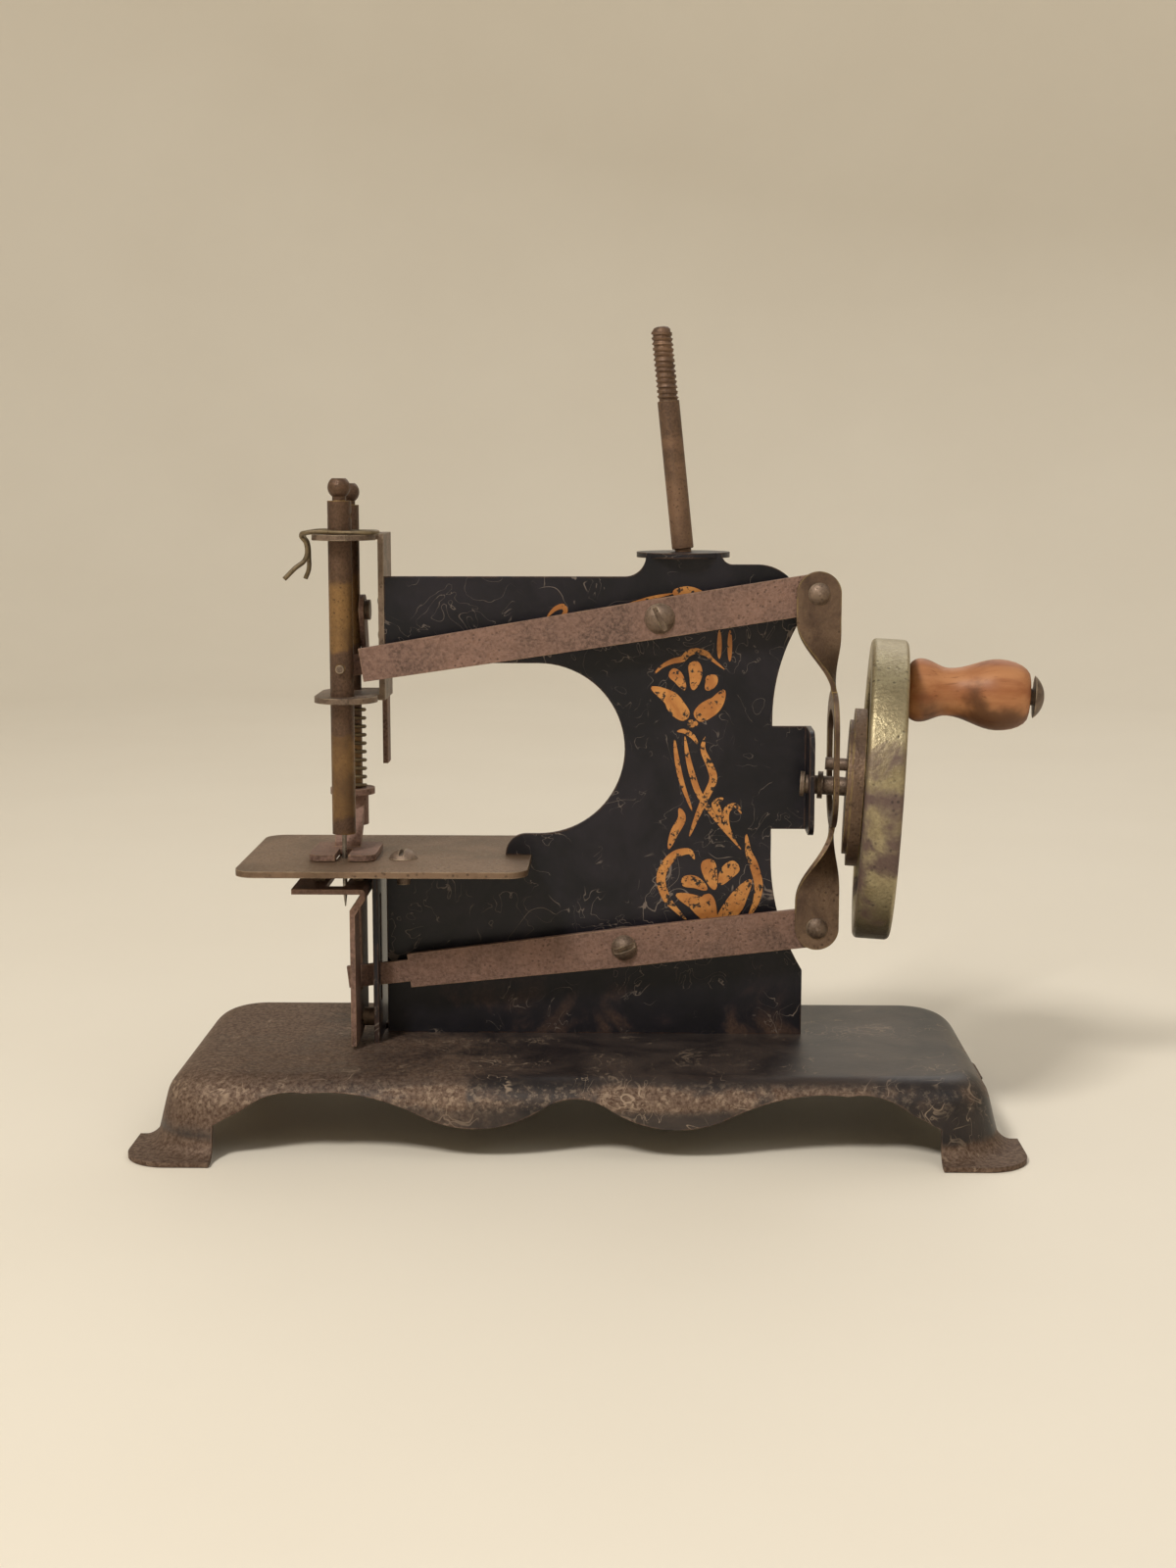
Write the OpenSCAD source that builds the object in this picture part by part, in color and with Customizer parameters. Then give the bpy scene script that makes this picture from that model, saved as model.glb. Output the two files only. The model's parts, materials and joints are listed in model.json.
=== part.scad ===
// Toy sewing machine of pressed sheet metal, worked by a hand wheel.
// X runs to the right along the bed, Y away from the viewer and Z up.
// Sizes are in millimetres. The needle is down in the pose that is drawn.

/* [Base] */
// Length of the base over its toes
base_len = 164; // [158:1:170]
// Depth of the base over its toes
base_depth = 76; // [72:1:80]
// Thickness of the base's sheet
base_sheet = 0.9; // [0.7:0.1:1.1]
// Height of the base's flat top
base_h = 14.5; // [13.5:0.5:15.5]
// Outer radius of the rounded shoulder
shoulder_r = 6.5; // [6:0.5:7.5]
// Degrees that the walls lean out below the shoulder
wall_lean = 14; // [10:1:18]
// Radius of the flare that ends in the toes
flare_r = 3; // [2.5:0.1:3.5]
// Flat lip beyond the flare
toe_lip = 1.2; // [1:0.1:1.6]
// Plan radius of the flat top's corners
top_corner_r = 5; // [4:0.5:6]
// Length of a foot along the front
foot_w = 16; // [14:0.5:18]

/* [Body plate] */
// Thickness of the body sheet
plate_t = 1; // [0.8:0.1:1.2]
// Height of the arm's upper edge
arm_top = 104; // [102:0.5:106]
// Height of the arm's lower edge
arm_low = 87.4; // [86.5:0.1:88]
// Radius of the throat's round end
throat_r = 16.6; // [15.5:0.1:17]
// Height of the neck under the spool tab
neck_h = 4.5; // [4:0.5:6]
// Radius of the round spool tab
spool_tab_r = 9; // [8:0.5:10]

/* [Cloth plate] */
// Length of the cloth plate
cloth_len = 55; // [53:0.5:56]
// Depth of the cloth plate
cloth_depth = 42; // [40:0.5:46]
// Thickness of the cloth plate
cloth_t = 1.2; // [1:0.1:1.4]
// Height of its upper face
cloth_top = 50; // [49.8:0.1:50.4]

/* [Levers and strap] */
// Thickness of a lever
lever_t = 1.2; // [1:0.1:1.3]
// Width of a lever at its pivot
lever_w = 7.6; // [7:0.1:8]
// Upper lever, from its pivot to the strap
upper_right = 30.4; // [30:0.1:31]
// Lower lever, from its pivot to the strap
lower_right = 37.3; // [37:0.1:37.8]
// Tilt of the upper lever as drawn, in degrees
upper_tilt = 9; // [8:0.5:9.5]
// Tilt of the lower lever as drawn, in degrees
lower_tilt = 6.5; // [6:0.5:7]
// Radius of the pivot screws' shanks
pivot_r = 2; // [1.8:0.1:2.2]

/* [Needle and presser] */
// Radius of the needle bar
needle_bar_r = 2.25; // [2.1:0.05:2.3]
// Radius of the presser bar
presser_bar_r = 2; // [1.8:0.05:2.1]
// Thickness of the presser spring's wire
spring_wire = 0.6; // [0.5:0.05:0.65]
// Rise from one turn of the spring to the next
spring_pitch = 1.75; // [1.7:0.05:1.85]

/* [Wheel and handle] */
// Diameter of the hand wheel
wheel_d = 57; // [54:0.5:58]
// Width of the wheel's rim
wheel_w = 6.9; // [6.4:0.1:7.4]
// Distance of the handle from the shaft
handle_arm = 19.3; // [18.5:0.1:20]
// Length of the wooden handle
handle_len = 22.6; // [21:0.2:24]
// Radius of the crank pin's circle
crank_throw = 4.2; // [4:0.1:4.3]
// Droop of the worn shaft towards the wheel, in degrees
shaft_droop = 3; // [0:0.5:3.5]
// Swing of the worn shaft towards the viewer, in degrees
shaft_swing = 5; // [0:0.5:5]

/* [Spool pin] */
// Radius of the plain lower part
spool_r = 2.1; // [1.9:0.1:2.4]
// Length of the plain part above the tab
spool_plain = 29; // [27:0.5:31]
// Length of the threaded part
spool_thread_len = 14; // [12:0.5:15]
// Lean of the pin to the left, in degrees
spool_lean = 6; // [0:0.5:7]

/* [Hidden] */
$fn = 48;

// Small sizes that several pieces share
tiny = 0.02;
fit = 0.05;
loose = 0.3;
over = 1;

// Base
base_y = -3.5;
shoulder_z = base_h - shoulder_r;
wall_high = shoulder_z + shoulder_r * sin(wall_lean);
wall_low = base_sheet + flare_r - flare_r * sin(wall_lean);
edge_run = (shoulder_r + flare_r) * cos(wall_lean) + (wall_high - wall_low) * tan(wall_lean);
overhang = edge_run + toe_lip;
flat_len = base_len - 2 * overhang;
flat_depth = base_depth - 2 * overhang;
foot_inner_x = base_len / 2 - foot_w;
foot_inner_y = base_depth / 2 - foot_w;
arch_top = base_h - 2.5;
side_arch_r = 40;
side_arch_x = 45.3;
foot_arch_r = 14;
foot_arch_x = foot_inner_x - foot_arch_r;
mid_arch_r = 11.5;
mid_arch_top = base_h - 3.3;
end_arch_r = 30;
end_arch_top = base_h - 5.5;
dip_r = 23;
toe_round = 8;

// Body plate
plate_front = -plate_t / 2;
plate_back = plate_t / 2;
plate_left = -37.6;
plate_right = 43.3;
column_top_r = 8.3;
column_top_x = 34;
column_drop = 6;
column_top_z = arm_top - column_drop;
column_top_edge = column_top_z + column_top_r;
throat_x = -8;
throat_z = arm_low - throat_r;
nose_x = -14.5;
nose_r = 4;
nose_top = throat_z - throat_r;
bed_left = -37.8;
bed_top = cloth_top - cloth_t;
waist_x = 37;
waist_low = 50;
waist_high = 77;
waist_upper_r = 37;
waist_lower_r = 44;
bearing_z = 65.3;
bearing_h = 20;
bearing_reach = 11;
bearing_corner = 3;
flange_x = 44;
neck_x = 19.8;
neck_half = 7.2;
neck_flare = 4;
right_flare = arm_top + neck_h - column_top_edge;
spool_tab_y = 6;
screw_tab_len = 8;
screw_tab_reach = 9;
plate_tab_w = 10;
plate_tab_drop = 3;
plate_tab_xs = [-25, 28];
head_flange_depth = 9;
head_flange_inset = 2;
head_flange_low = arm_low + head_flange_inset;
head_flange_high = arm_top - head_flange_inset;

// Bars and head
needle_x = -45.4;
lever_y = -4.2;
needle_y = lever_y;
presser_y = 9.5;
bracket_t = 1.1;
lug_left = -50.8;
lug_front = -9.5;
lug_back = 13;
upper_lug_z = 111;
lower_lug_z = 80.2;
lug_round = 6;
rivet_r = 1;
rivet_head_r = 1.8;
rivet_head_h = 0.8;
head_rivet_inset = 5;
head_rivet_zs = [arm_low + head_rivet_inset, arm_top - head_rivet_inset];
head_rivet_y = 5.5;

// Levers, strap and their pivots
lever_front = lever_y - lever_t / 2;
lever_back = lever_y + lever_t / 2;
upper_x = 15.2;
upper_z = 96.3;
lower_x = 8.6;
lower_z = 32.6;
upper_left_w = 6.4;
upper_shoulder = 57.6;
finger_end = 64;
finger_t = 1;
finger_h = 4;
finger_gap = 0.2;
finger_back = plate_front - finger_gap;
finger_front = finger_back - finger_t;
pin_slot = 4;
lower_shoulder = 42;
lower_end = 54;
lower_tip_h = 4.2;
strap_t = 1;
strap_gap = 0.2;
strap_front = lever_front - strap_gap - strap_t;
strap_y = strap_front + strap_t / 2;
strap_end_r = 4.2;
strap_pin_r = 1.5;
open_pin_gap = 0.3;
link_head_r = 2.1;
link_head_h = 1.1;
strap_upper = [upper_x + upper_right * cos(upper_tilt), upper_z + upper_right * sin(upper_tilt)];
strap_lower = [lower_x + lower_right * cos(lower_tilt), lower_z + lower_right * sin(lower_tilt)];
strap_tail = 5;
strap_travel = 8.2;
eye_x = 47.8;
eye_rim = 2;
eye_top_rim = 3.4;
neck_w = 3.4;
neck_steps = 8;
neck_thin = 0.1;
neck_sink = 0.6;
spacer_r = 3.4;
pivot_head_rs = [2.9, 2.5];
pivot_head_h = 1.6;
pivot_slot_w = 0.9;
pivot_slot_d = 1.1;
pivot_slot_turns = [-63, 20];
nut_r = 3.6;
nut_h = 2.2;
pivot_end = 0.6;

// Cloth plate and feed
cloth_right = -9.5;
cloth_y = 1.5;
cloth_corner = 4;
feed_slot_w = 4.6;
feed_slot_len = 11;
feed_slot_y = -0.2;
feed_slot_xs = [-49, -42.3];
needle_hole_r = 0.65;
cloth_screw_x = -34;
cloth_screw_y = -4.6;
cloth_screw_r = 1.3;
cloth_screw_head_r = 2.8;
cloth_screw_head_h = 1.9;
cloth_screw_len = 5;
cloth_slot_turn = 82;
feed_sheet_x = -43.4;
feed_t = 1;
feed_front = -13.8;
feed_back = 6;
feed_lift = 0.6;
feed_low = base_h + feed_lift;
feed_pin_y = -4;
feed_pin_z = 18.6;
feed_pin_r = 1.1;
feed_heel = 2.2;
feed_bend_z = 40.5;
feed_bend_out = 2;
feed_bar_top = 45.6;
feed_bar_left = -54.4;
feed_window_xs = [-48.3, -44.7];
feed_window_front = -10.5;
feed_slot_low = 24;
feed_slot_high = 42;
feed_slot_wide = 3.2;
feed_slot_shift = 1.9;
dog_sunk = 0.5;
dog_top = cloth_top - dog_sunk;
dog_front = -5.2;
dog_len = 4.6;
dog_w = 2;
dog_xs = [-50.2, -42.7];
dog_teeth = 4;
dog_tooth_h = 0.8;
bracket_x = -39.6;
bracket_front = -9;
bracket_back = 11;
bracket_slot_w = 2.6;
bracket_slot_low = 22;
bracket_slot_high = 43;
bracket_foot_y = 3;
bracket_foot_x = -32;
bracket_rivet_y = 7;

// Needle bar
needle_bar_low = 54.8;
needle_bar_high = 118.4;
neck_r = 1.3;
neck_tall = 0.8;
ball_r = 2.15;
ball_h = 3.4;
thread_hole_r = 0.6;
thread_hole_z = 115.6;
needle_r = 0.45;
needle_tip = 40.5;
needle_point = 3;
needle_sunk = 3;
bar_pin_r = 0.8;
bar_pin_z = upper_z - (upper_x - needle_x) * tan(upper_tilt);
bar_pin_proud = 0.8;

// Presser bar, foot and spring
presser_low = 54.5;
presser_high = 117.4;
seat_z = 60.6;
seat_t = 1.2;
seat_r = 4.4;
sole_gap = 0.15;
sole_t = 1.2;
sole_w = 12.8;
sole_front = -9;
sole_back = 6.5;
sole_corner = 2;
sole_slot_w = 2.6;
sole_slot_back = -1.5;
foot_socket_r = 3.1;
foot_neck_w = 5;
spring_top = lower_lug_z - tiny - spring_wire / 2;
spring_low = seat_z + seat_t + tiny + spring_wire / 2;
spring_mean_r = presser_bar_r + loose + spring_wire / 2;
spring_close_pitch = 1.1;
spring_close_turns = 2;
spring_open_turns = (spring_top - spring_low - spring_close_turns * spring_close_pitch) / spring_pitch;
spring_turns = spring_open_turns + spring_close_turns;
spring_rings = 8;
spring_sides = 6;
lifter_t = 1;
lifter_x = needle_x + presser_bar_r;
lifter_eye_r = 3;
lifter_z = 97;
lifter_low = 66;
lifter_back = 15;
lifter_w = 5;
lifter_bend_z = 90;
lifter_step = 3.6;
lifter_gap = 1;
lifter_screw_r = 1.1;
lifter_head_r = 2;
lifter_head_h = 1;

// Thread guide, one bent wire on the upper lug
guide_r = 0.45;
guide_z = upper_lug_z + bracket_t + guide_r + tiny;
guide_sides = 8;
guide_path = [
    [-55.6, -5.6, 103.8], [-53.6, -5.4, 105.8], [-51.6, -5.1, 107.6], [-51.4, -5.1, 110.5],
    [-52.2, -5.8, 112], [-51, -7.2, guide_z], [-44, -7.4, guide_z], [-40.2, -7.2, guide_z],
    [-38.4, -5.8, guide_z], [-38.4, -2.6, guide_z], [-40.2, -1.2, guide_z], [-44, -1, guide_z],
    [-51, -1.2, guide_z], [-52.2, -2.6, 112], [-51.4, -3.3, 110.5], [-51.2, -3.3, 107.6],
    [-51.3, -3, 105.6], [-52, -2.8, 103.8]
];

// Shaft, in steps along its own axis from the bearing flange
shaft_y = strap_y;
shaft_z = 64.8;
shaft_r = 1.8;
shaft_bore_gap = 0.08;
shaft_left = -1.9;
shaft_head_r = 2.4;
shaft_head_h = 0.8;
collar_at = 1.4;
collar_h = 1;
collar_r = 2.6;
disc_at = 6.8;
disc_h = 3.1;
disc_r = 15;
disc_step_r = 12.8;
disc_step_h = 0.8;
rim_at = 9.8;
rim_t = 5;
rim_round = 1;
web_at = 11.6;
web_t = 3;
hub_r = 8;
hub_at = disc_at + disc_h;
hub_end = 16;
shaft_end = 16.8;
crank_pin_r = 1.2;
crank_pin_end = 2.6;
handle_gap = 0.4;
handle_at = rim_at + wheel_w + handle_gap;
handle_bore_r = 1.7;
spindle_r = 1.6;
spindle_collar_r = 2.6;
spindle_tail = 1.2;
spindle_neck = 0.9;
spindle_head_r = 4;
spindle_head_h = 1.9;
spindle_end = handle_at + handle_len + spindle_neck + spindle_head_h;
eye_gap = 0.9;
eye_half = crank_throw + crank_pin_r + eye_gap;
bead_r = 6;
bead_edge_r = 4.2;
waist_r = 4.5;
belly_r = 6.7;
handle_end_r = 3.6;
bead_share = 0.1;
waist_share = 0.33;
belly_share = 0.74;
swell_steps = 8;

// Spool pin
thread_pitch = 1;
thread_depth = 0.35;
spool_foot = 2;
spool_foot_r = 1.6;
spool_step = 0.6;
spool_nut_r = 3.4;

// The drawing's middle comes over the origin
handle_end_x = flange_x + cos(shaft_swing) * (spindle_end * cos(shaft_droop) + handle_arm * sin(shaft_droop));
middle_x = (handle_end_x - base_len / 2) / 2;

module placed() {
    translate([-middle_x, -base_y, 0]) children();
}

// A flat sheet facing the viewer, drawn in X and Z
module panel(front, thick) {
    translate([0, front + thick, 0]) rotate([90, 0, 0]) linear_extrude(thick) children();
}

// A flat sheet facing along X, drawn in Y and Z
module side_panel(left, thick) {
    translate([left, 0, 0]) rotate([90, 0, 90]) linear_extrude(thick) children();
}

module y_pin(x, z, from, to, r) {
    translate([x, from, z]) rotate([-90, 0, 0]) cylinder(h = to - from, r = r);
}

module x_pin(y, z, from, to, r) {
    translate([from, y, z]) rotate([0, 90, 0]) cylinder(h = to - from, r = r);
}

module box(low, high) {
    translate(low) cube(high - low);
}

// A low dome of the given rim radius, standing on z = 0
module dome(r, h) {
    ball = (r * r + h * h) / (2 * h);
    intersection() {
        translate([0, 0, h - ball]) sphere(ball);
        cylinder(h = h, r = r);
    }
}

module rounded(size, r) {
    translate([-size[0] / 2 + r, -size[1] / 2]) square([size[0] - 2 * r, size[1]]);
    translate([-size[0] / 2, -size[1] / 2 + r]) square([size[0], size[1] - 2 * r]);
    for (x = [-1, 1], y = [-1, 1])
        translate([x * (size[0] / 2 - r), y * (size[1] / 2 - r)]) circle(r);
}

// Along the worn shaft, from the bearing flange outwards; -X here is up
module on_shaft() {
    translate([flange_x, shaft_y, shaft_z])
        rotate([0, shaft_droop, -shaft_swing])
            rotate([0, 90, 0])
                children();
}

// A closed tube along a path of points
function unit(v) = v / norm(v);
function headings(p) = [for (i = [0 : len(p) - 1]) unit(p[min(i + 1, len(p) - 1)] - p[max(i - 1, 0)])];
function carried(t, i, n) =
    i == len(t) ? [] : let (v = unit(n - (n * t[i]) * t[i])) concat([v], carried(t, i + 1, v));

module tube(path, r, sides, first) {
    t = headings(path);
    n = carried(t, 0, first);
    last = (len(path) - 1) * sides;
    points = [
        for (i = [0 : len(path) - 1], k = [0 : sides - 1])
            let (a = 360 * k / sides)
            path[i] + r * (cos(a) * n[i] + sin(a) * cross(t[i], n[i]))
    ];
    walls = [
        for (i = [0 : len(path) - 2], k = [0 : sides - 1], half = [0, 1])
            let (a = i * sides + k, b = i * sides + (k + 1) % sides)
            half == 0 ? [a, a + sides, b + sides] : [a, b + sides, b]
    ];
    starts = [for (k = [1 : sides - 2]) [0, k, k + 1]];
    ends = [for (k = [1 : sides - 2]) [last, last + k + 1, last + k]];
    polyhedron(points, concat(walls, starts, ends));
}

// Section of the base's edge: shoulder, leaning wall and the flare that ends at the lip
module edge_section() {
    lean = [cos(wall_lean), sin(wall_lean)];
    shoulder_at = [0, shoulder_z];
    flare_at = [edge_run, base_sheet + flare_r];
    translate(shoulder_at) arc_band(shoulder_r);
    translate(flare_at) rotate(180) arc_band(flare_r + base_sheet);
    polygon([shoulder_at + shoulder_r * lean, flare_at - flare_r * lean,
        flare_at - (flare_r + base_sheet) * lean, shoulder_at + (shoulder_r - base_sheet) * lean]);
}

// Bend of the sheet, from upright round to the walls' lean
module arc_band(r) {
    intersection() {
        difference() {
            circle(r);
            circle(r - base_sheet);
        }
        polygon([[0, 0], [2 * r, 2 * r * tan(wall_lean)], [2 * r, 2 * r], [0, 2 * r]]);
    }
}

// Flat lip round the foot of the flare, square enough at the corners to give the feet their toes
module toe_lips() {
    linear_extrude(base_sheet) difference() {
        rounded([base_len, base_depth], toe_round);
        rounded([flat_len + 2 * edge_run, flat_depth + 2 * edge_run], top_corner_r + edge_run);
    }
}

module base_shell() {
    toe_lips();
    run_x = flat_len - 2 * top_corner_r;
    run_y = flat_depth - 2 * top_corner_r;
    translate([0, 0, base_h - base_sheet]) linear_extrude(base_sheet)
        rounded([flat_len, flat_depth], top_corner_r);
    for (side = [0, 180]) {
        rotate(side) translate([flat_len / 2, 0, 0])
            rotate([90, 0, 0]) linear_extrude(run_y, center = true) edge_section();
        rotate(side + 90) translate([flat_depth / 2, 0, 0])
            rotate([90, 0, 0]) linear_extrude(run_x, center = true) edge_section();
    }
    for (x = [-1, 1], y = [-1, 1])
        translate([x * run_x / 2, y * run_y / 2, 0])
            rotate(x > 0 ? (y > 0 ? 0 : -90) : (y > 0 ? 90 : 180))
                rotate_extrude(angle = 90) translate([top_corner_r, 0]) edge_section();
}

// What is cut away beside a dip of the skirt, so that the dip is round
side_arch_at = [side_arch_x, arch_top - side_arch_r];
mid_arch_at = [0, mid_arch_top - mid_arch_r];
arch_span = norm(side_arch_at - mid_arch_at);
arch_way = (side_arch_at - mid_arch_at) / arch_span;
dip_from_mid = mid_arch_r + dip_r;
dip_from_side = side_arch_r + dip_r;
dip_along = (arch_span * arch_span + dip_from_mid * dip_from_mid - dip_from_side * dip_from_side)
    / (2 * arch_span);
dip_up = sqrt(dip_from_mid * dip_from_mid - dip_along * dip_along);
dip_at = mid_arch_at + dip_along * arch_way + dip_up * [-arch_way[1], arch_way[0]];

module dip_notch() {
    difference() {
        polygon([mid_arch_at, side_arch_at, dip_at]);
        translate(dip_at) circle(dip_r);
    }
}

// The arches between the feet, cut along the front and the ends
module base_arches() {
    intersection() {
        union() {
            for (side = [-1, 1]) {
                y_pin(side * side_arch_x, arch_top - side_arch_r, -base_depth, base_depth, side_arch_r);
                y_pin(side * foot_arch_x, arch_top - foot_arch_r, -base_depth, base_depth, foot_arch_r);
            }
            y_pin(0, mid_arch_top - mid_arch_r, -base_depth, base_depth, mid_arch_r);
        }
        box([-foot_inner_x, -base_depth, -over], [foot_inner_x, base_depth, base_h]);
    }
    for (side = [-1, 1]) scale([side, 1, 1]) panel(-base_depth, 2 * base_depth) dip_notch();
    intersection() {
        x_pin(0, end_arch_top - end_arch_r, -base_len, base_len, end_arch_r);
        box([-base_len, -foot_inner_y, -over], [base_len, foot_inner_y, base_h]);
    }
}

module base() {
    color("#23211f") placed() difference() {
        translate([0, base_y, 0]) difference() {
            base_shell();
            base_arches();
        }
        for (x = plate_tab_xs)
            box([x - plate_tab_w / 2 - fit, plate_front - fit, base_h - base_sheet - over],
                [x + plate_tab_w / 2 + fit, plate_back + fit, base_h + over]);
        translate([bracket_x + feed_t + bracket_rivet_y / 2, bracket_rivet_y, base_h - base_sheet - over])
            cylinder(h = base_sheet + 2 * over, r = rivet_r);
    }
}

module plate_outline() {
    difference() {
        union() {
            translate([plate_left, arm_low]) square([column_top_x - plate_left, arm_top - arm_low]);
            translate([bed_left, base_h]) square([plate_right - bed_left, nose_top - base_h]);
            translate([throat_x, base_h]) square([plate_right - throat_x, column_top_z - base_h]);
            translate([column_top_x, column_top_z]) circle(column_top_r);
            translate([neck_x - neck_half - neck_flare, arm_top - over])
                square([neck_half + neck_flare, over + neck_flare]);
            translate([neck_x, column_top_z]) square([column_top_x - neck_x, column_top_r]);
            translate([neck_x, column_top_edge]) square([neck_half + right_flare, right_flare]);
            translate([neck_x - neck_half, arm_top]) square([2 * neck_half, neck_h]);
            for (x = plate_tab_xs)
                translate([x - plate_tab_w / 2, base_h - plate_tab_drop])
                    square([plate_tab_w, plate_tab_drop + over]);
        }
        translate([throat_x, throat_z]) circle(throat_r);
        translate([2 * bed_left, nose_top]) square([throat_x - 2 * bed_left, 2 * throat_r]);
        translate([neck_x - neck_half - neck_flare, arm_top + neck_flare]) circle(neck_flare);
        translate([neck_x + neck_half + right_flare, column_top_edge + right_flare]) circle(right_flare);
        translate([2 * bed_left, bed_top]) square([cloth_right + fit - 2 * bed_left, cloth_t + fit]);
        translate([2 * bed_left, bed_top]) square([nose_x - 2 * bed_left, nose_top - bed_top + over]);
        translate([nose_x, nose_top - nose_r]) difference() {
            translate([-over, 0]) square([nose_r + over, nose_r + over]);
            translate([nose_r, 0]) circle(nose_r);
        }
        translate([waist_x + waist_upper_r, waist_high]) circle(waist_upper_r);
        translate([waist_x + waist_lower_r, waist_low]) circle(waist_lower_r);
        translate([waist_x, waist_low]) square([waist_lower_r, waist_high - waist_low]);
    }
}

module body_plate() {
    color("#26231f") placed() difference() {
        union() {
            panel(plate_front, plate_t) plate_outline();
            box([waist_x - over, plate_front, bearing_z - bearing_h / 2],
                [flange_x + plate_t / 2, plate_back, bearing_z + bearing_h / 2]);
            side_panel(flange_x - plate_t / 2, plate_t)
                translate([plate_back - bearing_reach / 2, bearing_z])
                    rounded([bearing_reach, bearing_h], bearing_corner);
            box([flange_x - plate_t / 2, plate_back - bearing_corner, bearing_z - bearing_h / 2],
                [flange_x + plate_t / 2, plate_back, bearing_z + bearing_h / 2]);
            translate([neck_x, spool_tab_y, arm_top + neck_h - plate_t])
                cylinder(h = plate_t, r = spool_tab_r);
            box([neck_x - neck_half, plate_front, arm_top + neck_h - plate_t],
                [neck_x + neck_half, spool_tab_y, arm_top + neck_h]);
            box([bed_left, -screw_tab_reach, bed_top - plate_t],
                [bed_left + screw_tab_len, plate_back, bed_top]);
            box([plate_left, plate_front, head_flange_low],
                [plate_left + plate_t, head_flange_depth, head_flange_high]);
        }
        on_shaft() translate([0, 0, -over * 2]) cylinder(h = 4 * over, r = shaft_r + shaft_bore_gap);
        y_pin(upper_x, upper_z, -over, over, pivot_r);
        y_pin(lower_x, lower_z, -over, over, pivot_r);
        for (z = head_rivet_zs)
            x_pin(head_rivet_y, z, plate_left - over, plate_left + 2 * over, rivet_r);
        translate([cloth_screw_x, cloth_screw_y, bed_top - 2 * over])
            cylinder(h = 4 * over, r = cloth_screw_r);
        spool_line() translate([0, 0, -spool_foot]) cylinder(h = 2 * spool_foot, r = spool_foot_r);
    }
}

// A lug in plan, wide at the front for the needle bar
module lug_plan() {
    right = plate_left;
    difference() {
        union() {
            translate([lug_left + lug_round, lug_front])
                square([right - lug_left - 2 * lug_round, lug_back - lug_front]);
            translate([lug_left, lug_front + lug_round])
                square([lug_round, lug_back - lug_front - 2 * lug_round]);
            translate([lug_left + lug_round, lug_front + lug_round]) circle(lug_round);
            translate([lug_left + lug_round, lug_back - lug_round]) circle(lug_round);
            translate([right - lug_round, plate_front]) square([lug_round, lug_back - plate_front]);
            translate([right - lug_round, lug_front + lug_round]) circle(lug_round - bracket_t);
        }
        translate([needle_x, needle_y]) circle(needle_bar_r + fit);
        translate([needle_x, presser_y]) circle(presser_bar_r + fit);
    }
}

module head_bracket() {
    color("#2b2620") placed() difference() {
        union() {
            for (z = [lower_lug_z, upper_lug_z])
                translate([0, 0, z]) linear_extrude(bracket_t) lug_plan();
            box([plate_left - bracket_t, plate_front, lower_lug_z],
                [plate_left, lug_back, upper_lug_z + bracket_t]);
        }
        for (z = head_rivet_zs)
            x_pin(head_rivet_y, z, plate_left - 2 * over, plate_left + over, rivet_r);
    }
}

module head_rivets() {
    color("#5a5148") placed() for (z = head_rivet_zs) {
        x_pin(head_rivet_y, z, plate_left - bracket_t, plate_left + plate_t, rivet_r);
        translate([plate_left - bracket_t, head_rivet_y, z]) rotate([0, -90, 0])
            dome(rivet_head_r, rivet_head_h);
        translate([plate_left + plate_t, head_rivet_y, z]) rotate([0, 90, 0])
            dome(rivet_head_r, rivet_head_h);
    }
}

module cloth_plate() {
    color("#8c8478") placed() difference() {
        translate([cloth_right - cloth_len / 2, cloth_y, cloth_top - cloth_t])
            linear_extrude(cloth_t) rounded([cloth_len, cloth_depth], cloth_corner);
        for (x = feed_slot_xs)
            box([x - feed_slot_w / 2, feed_slot_y - feed_slot_len / 2, cloth_top - cloth_t - over],
                [x + feed_slot_w / 2, feed_slot_y + feed_slot_len / 2, cloth_top + over]);
        translate([needle_x, needle_y, cloth_top - cloth_t - over])
            cylinder(h = cloth_t + 2 * over, r = needle_hole_r);
        translate([cloth_screw_x, cloth_screw_y, cloth_top - cloth_t - over])
            cylinder(h = cloth_t + 2 * over, r = cloth_screw_r);
    }
}

// A slotted dome on a shank that hangs below z = 0
module slotted_screw(shank_r, shank_len, head_r, head_h, turn) {
    difference() {
        union() {
            dome(head_r, head_h);
            translate([0, 0, -shank_len]) cylinder(h = shank_len + tiny, r = shank_r);
        }
        rotate(turn) translate([-head_r - over, -pivot_slot_w / 2, head_h - pivot_slot_d])
            cube([2 * (head_r + over), pivot_slot_w, pivot_slot_d + over]);
    }
}

module cloth_plate_screw() {
    color("#7d7468") placed() translate([cloth_screw_x, cloth_screw_y, cloth_top])
        slotted_screw(cloth_screw_r, cloth_screw_len, cloth_screw_head_r, cloth_screw_head_h,
            cloth_slot_turn);
}

module feed_bracket() {
    color("#2a2622") placed() difference() {
        union() {
            box([bracket_x, bracket_front, base_h], [bracket_x + feed_t, bracket_back, bed_top]);
            box([bracket_x, bracket_foot_y, base_h], [bracket_foot_x, bracket_back, base_h + feed_t]);
        }
        box([bracket_x - over, lever_y - bracket_slot_w / 2, bracket_slot_low],
            [bracket_x + feed_t + over, lever_y + bracket_slot_w / 2, bracket_slot_high]);
        x_pin(feed_pin_y, feed_pin_z, bracket_x - over, bracket_x + 2 * over, feed_pin_r);
        translate([bracket_x + feed_t + bracket_rivet_y / 2, bracket_rivet_y, base_h - over])
            cylinder(h = feed_t + 2 * over, r = rivet_r);
    }
}

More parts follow.
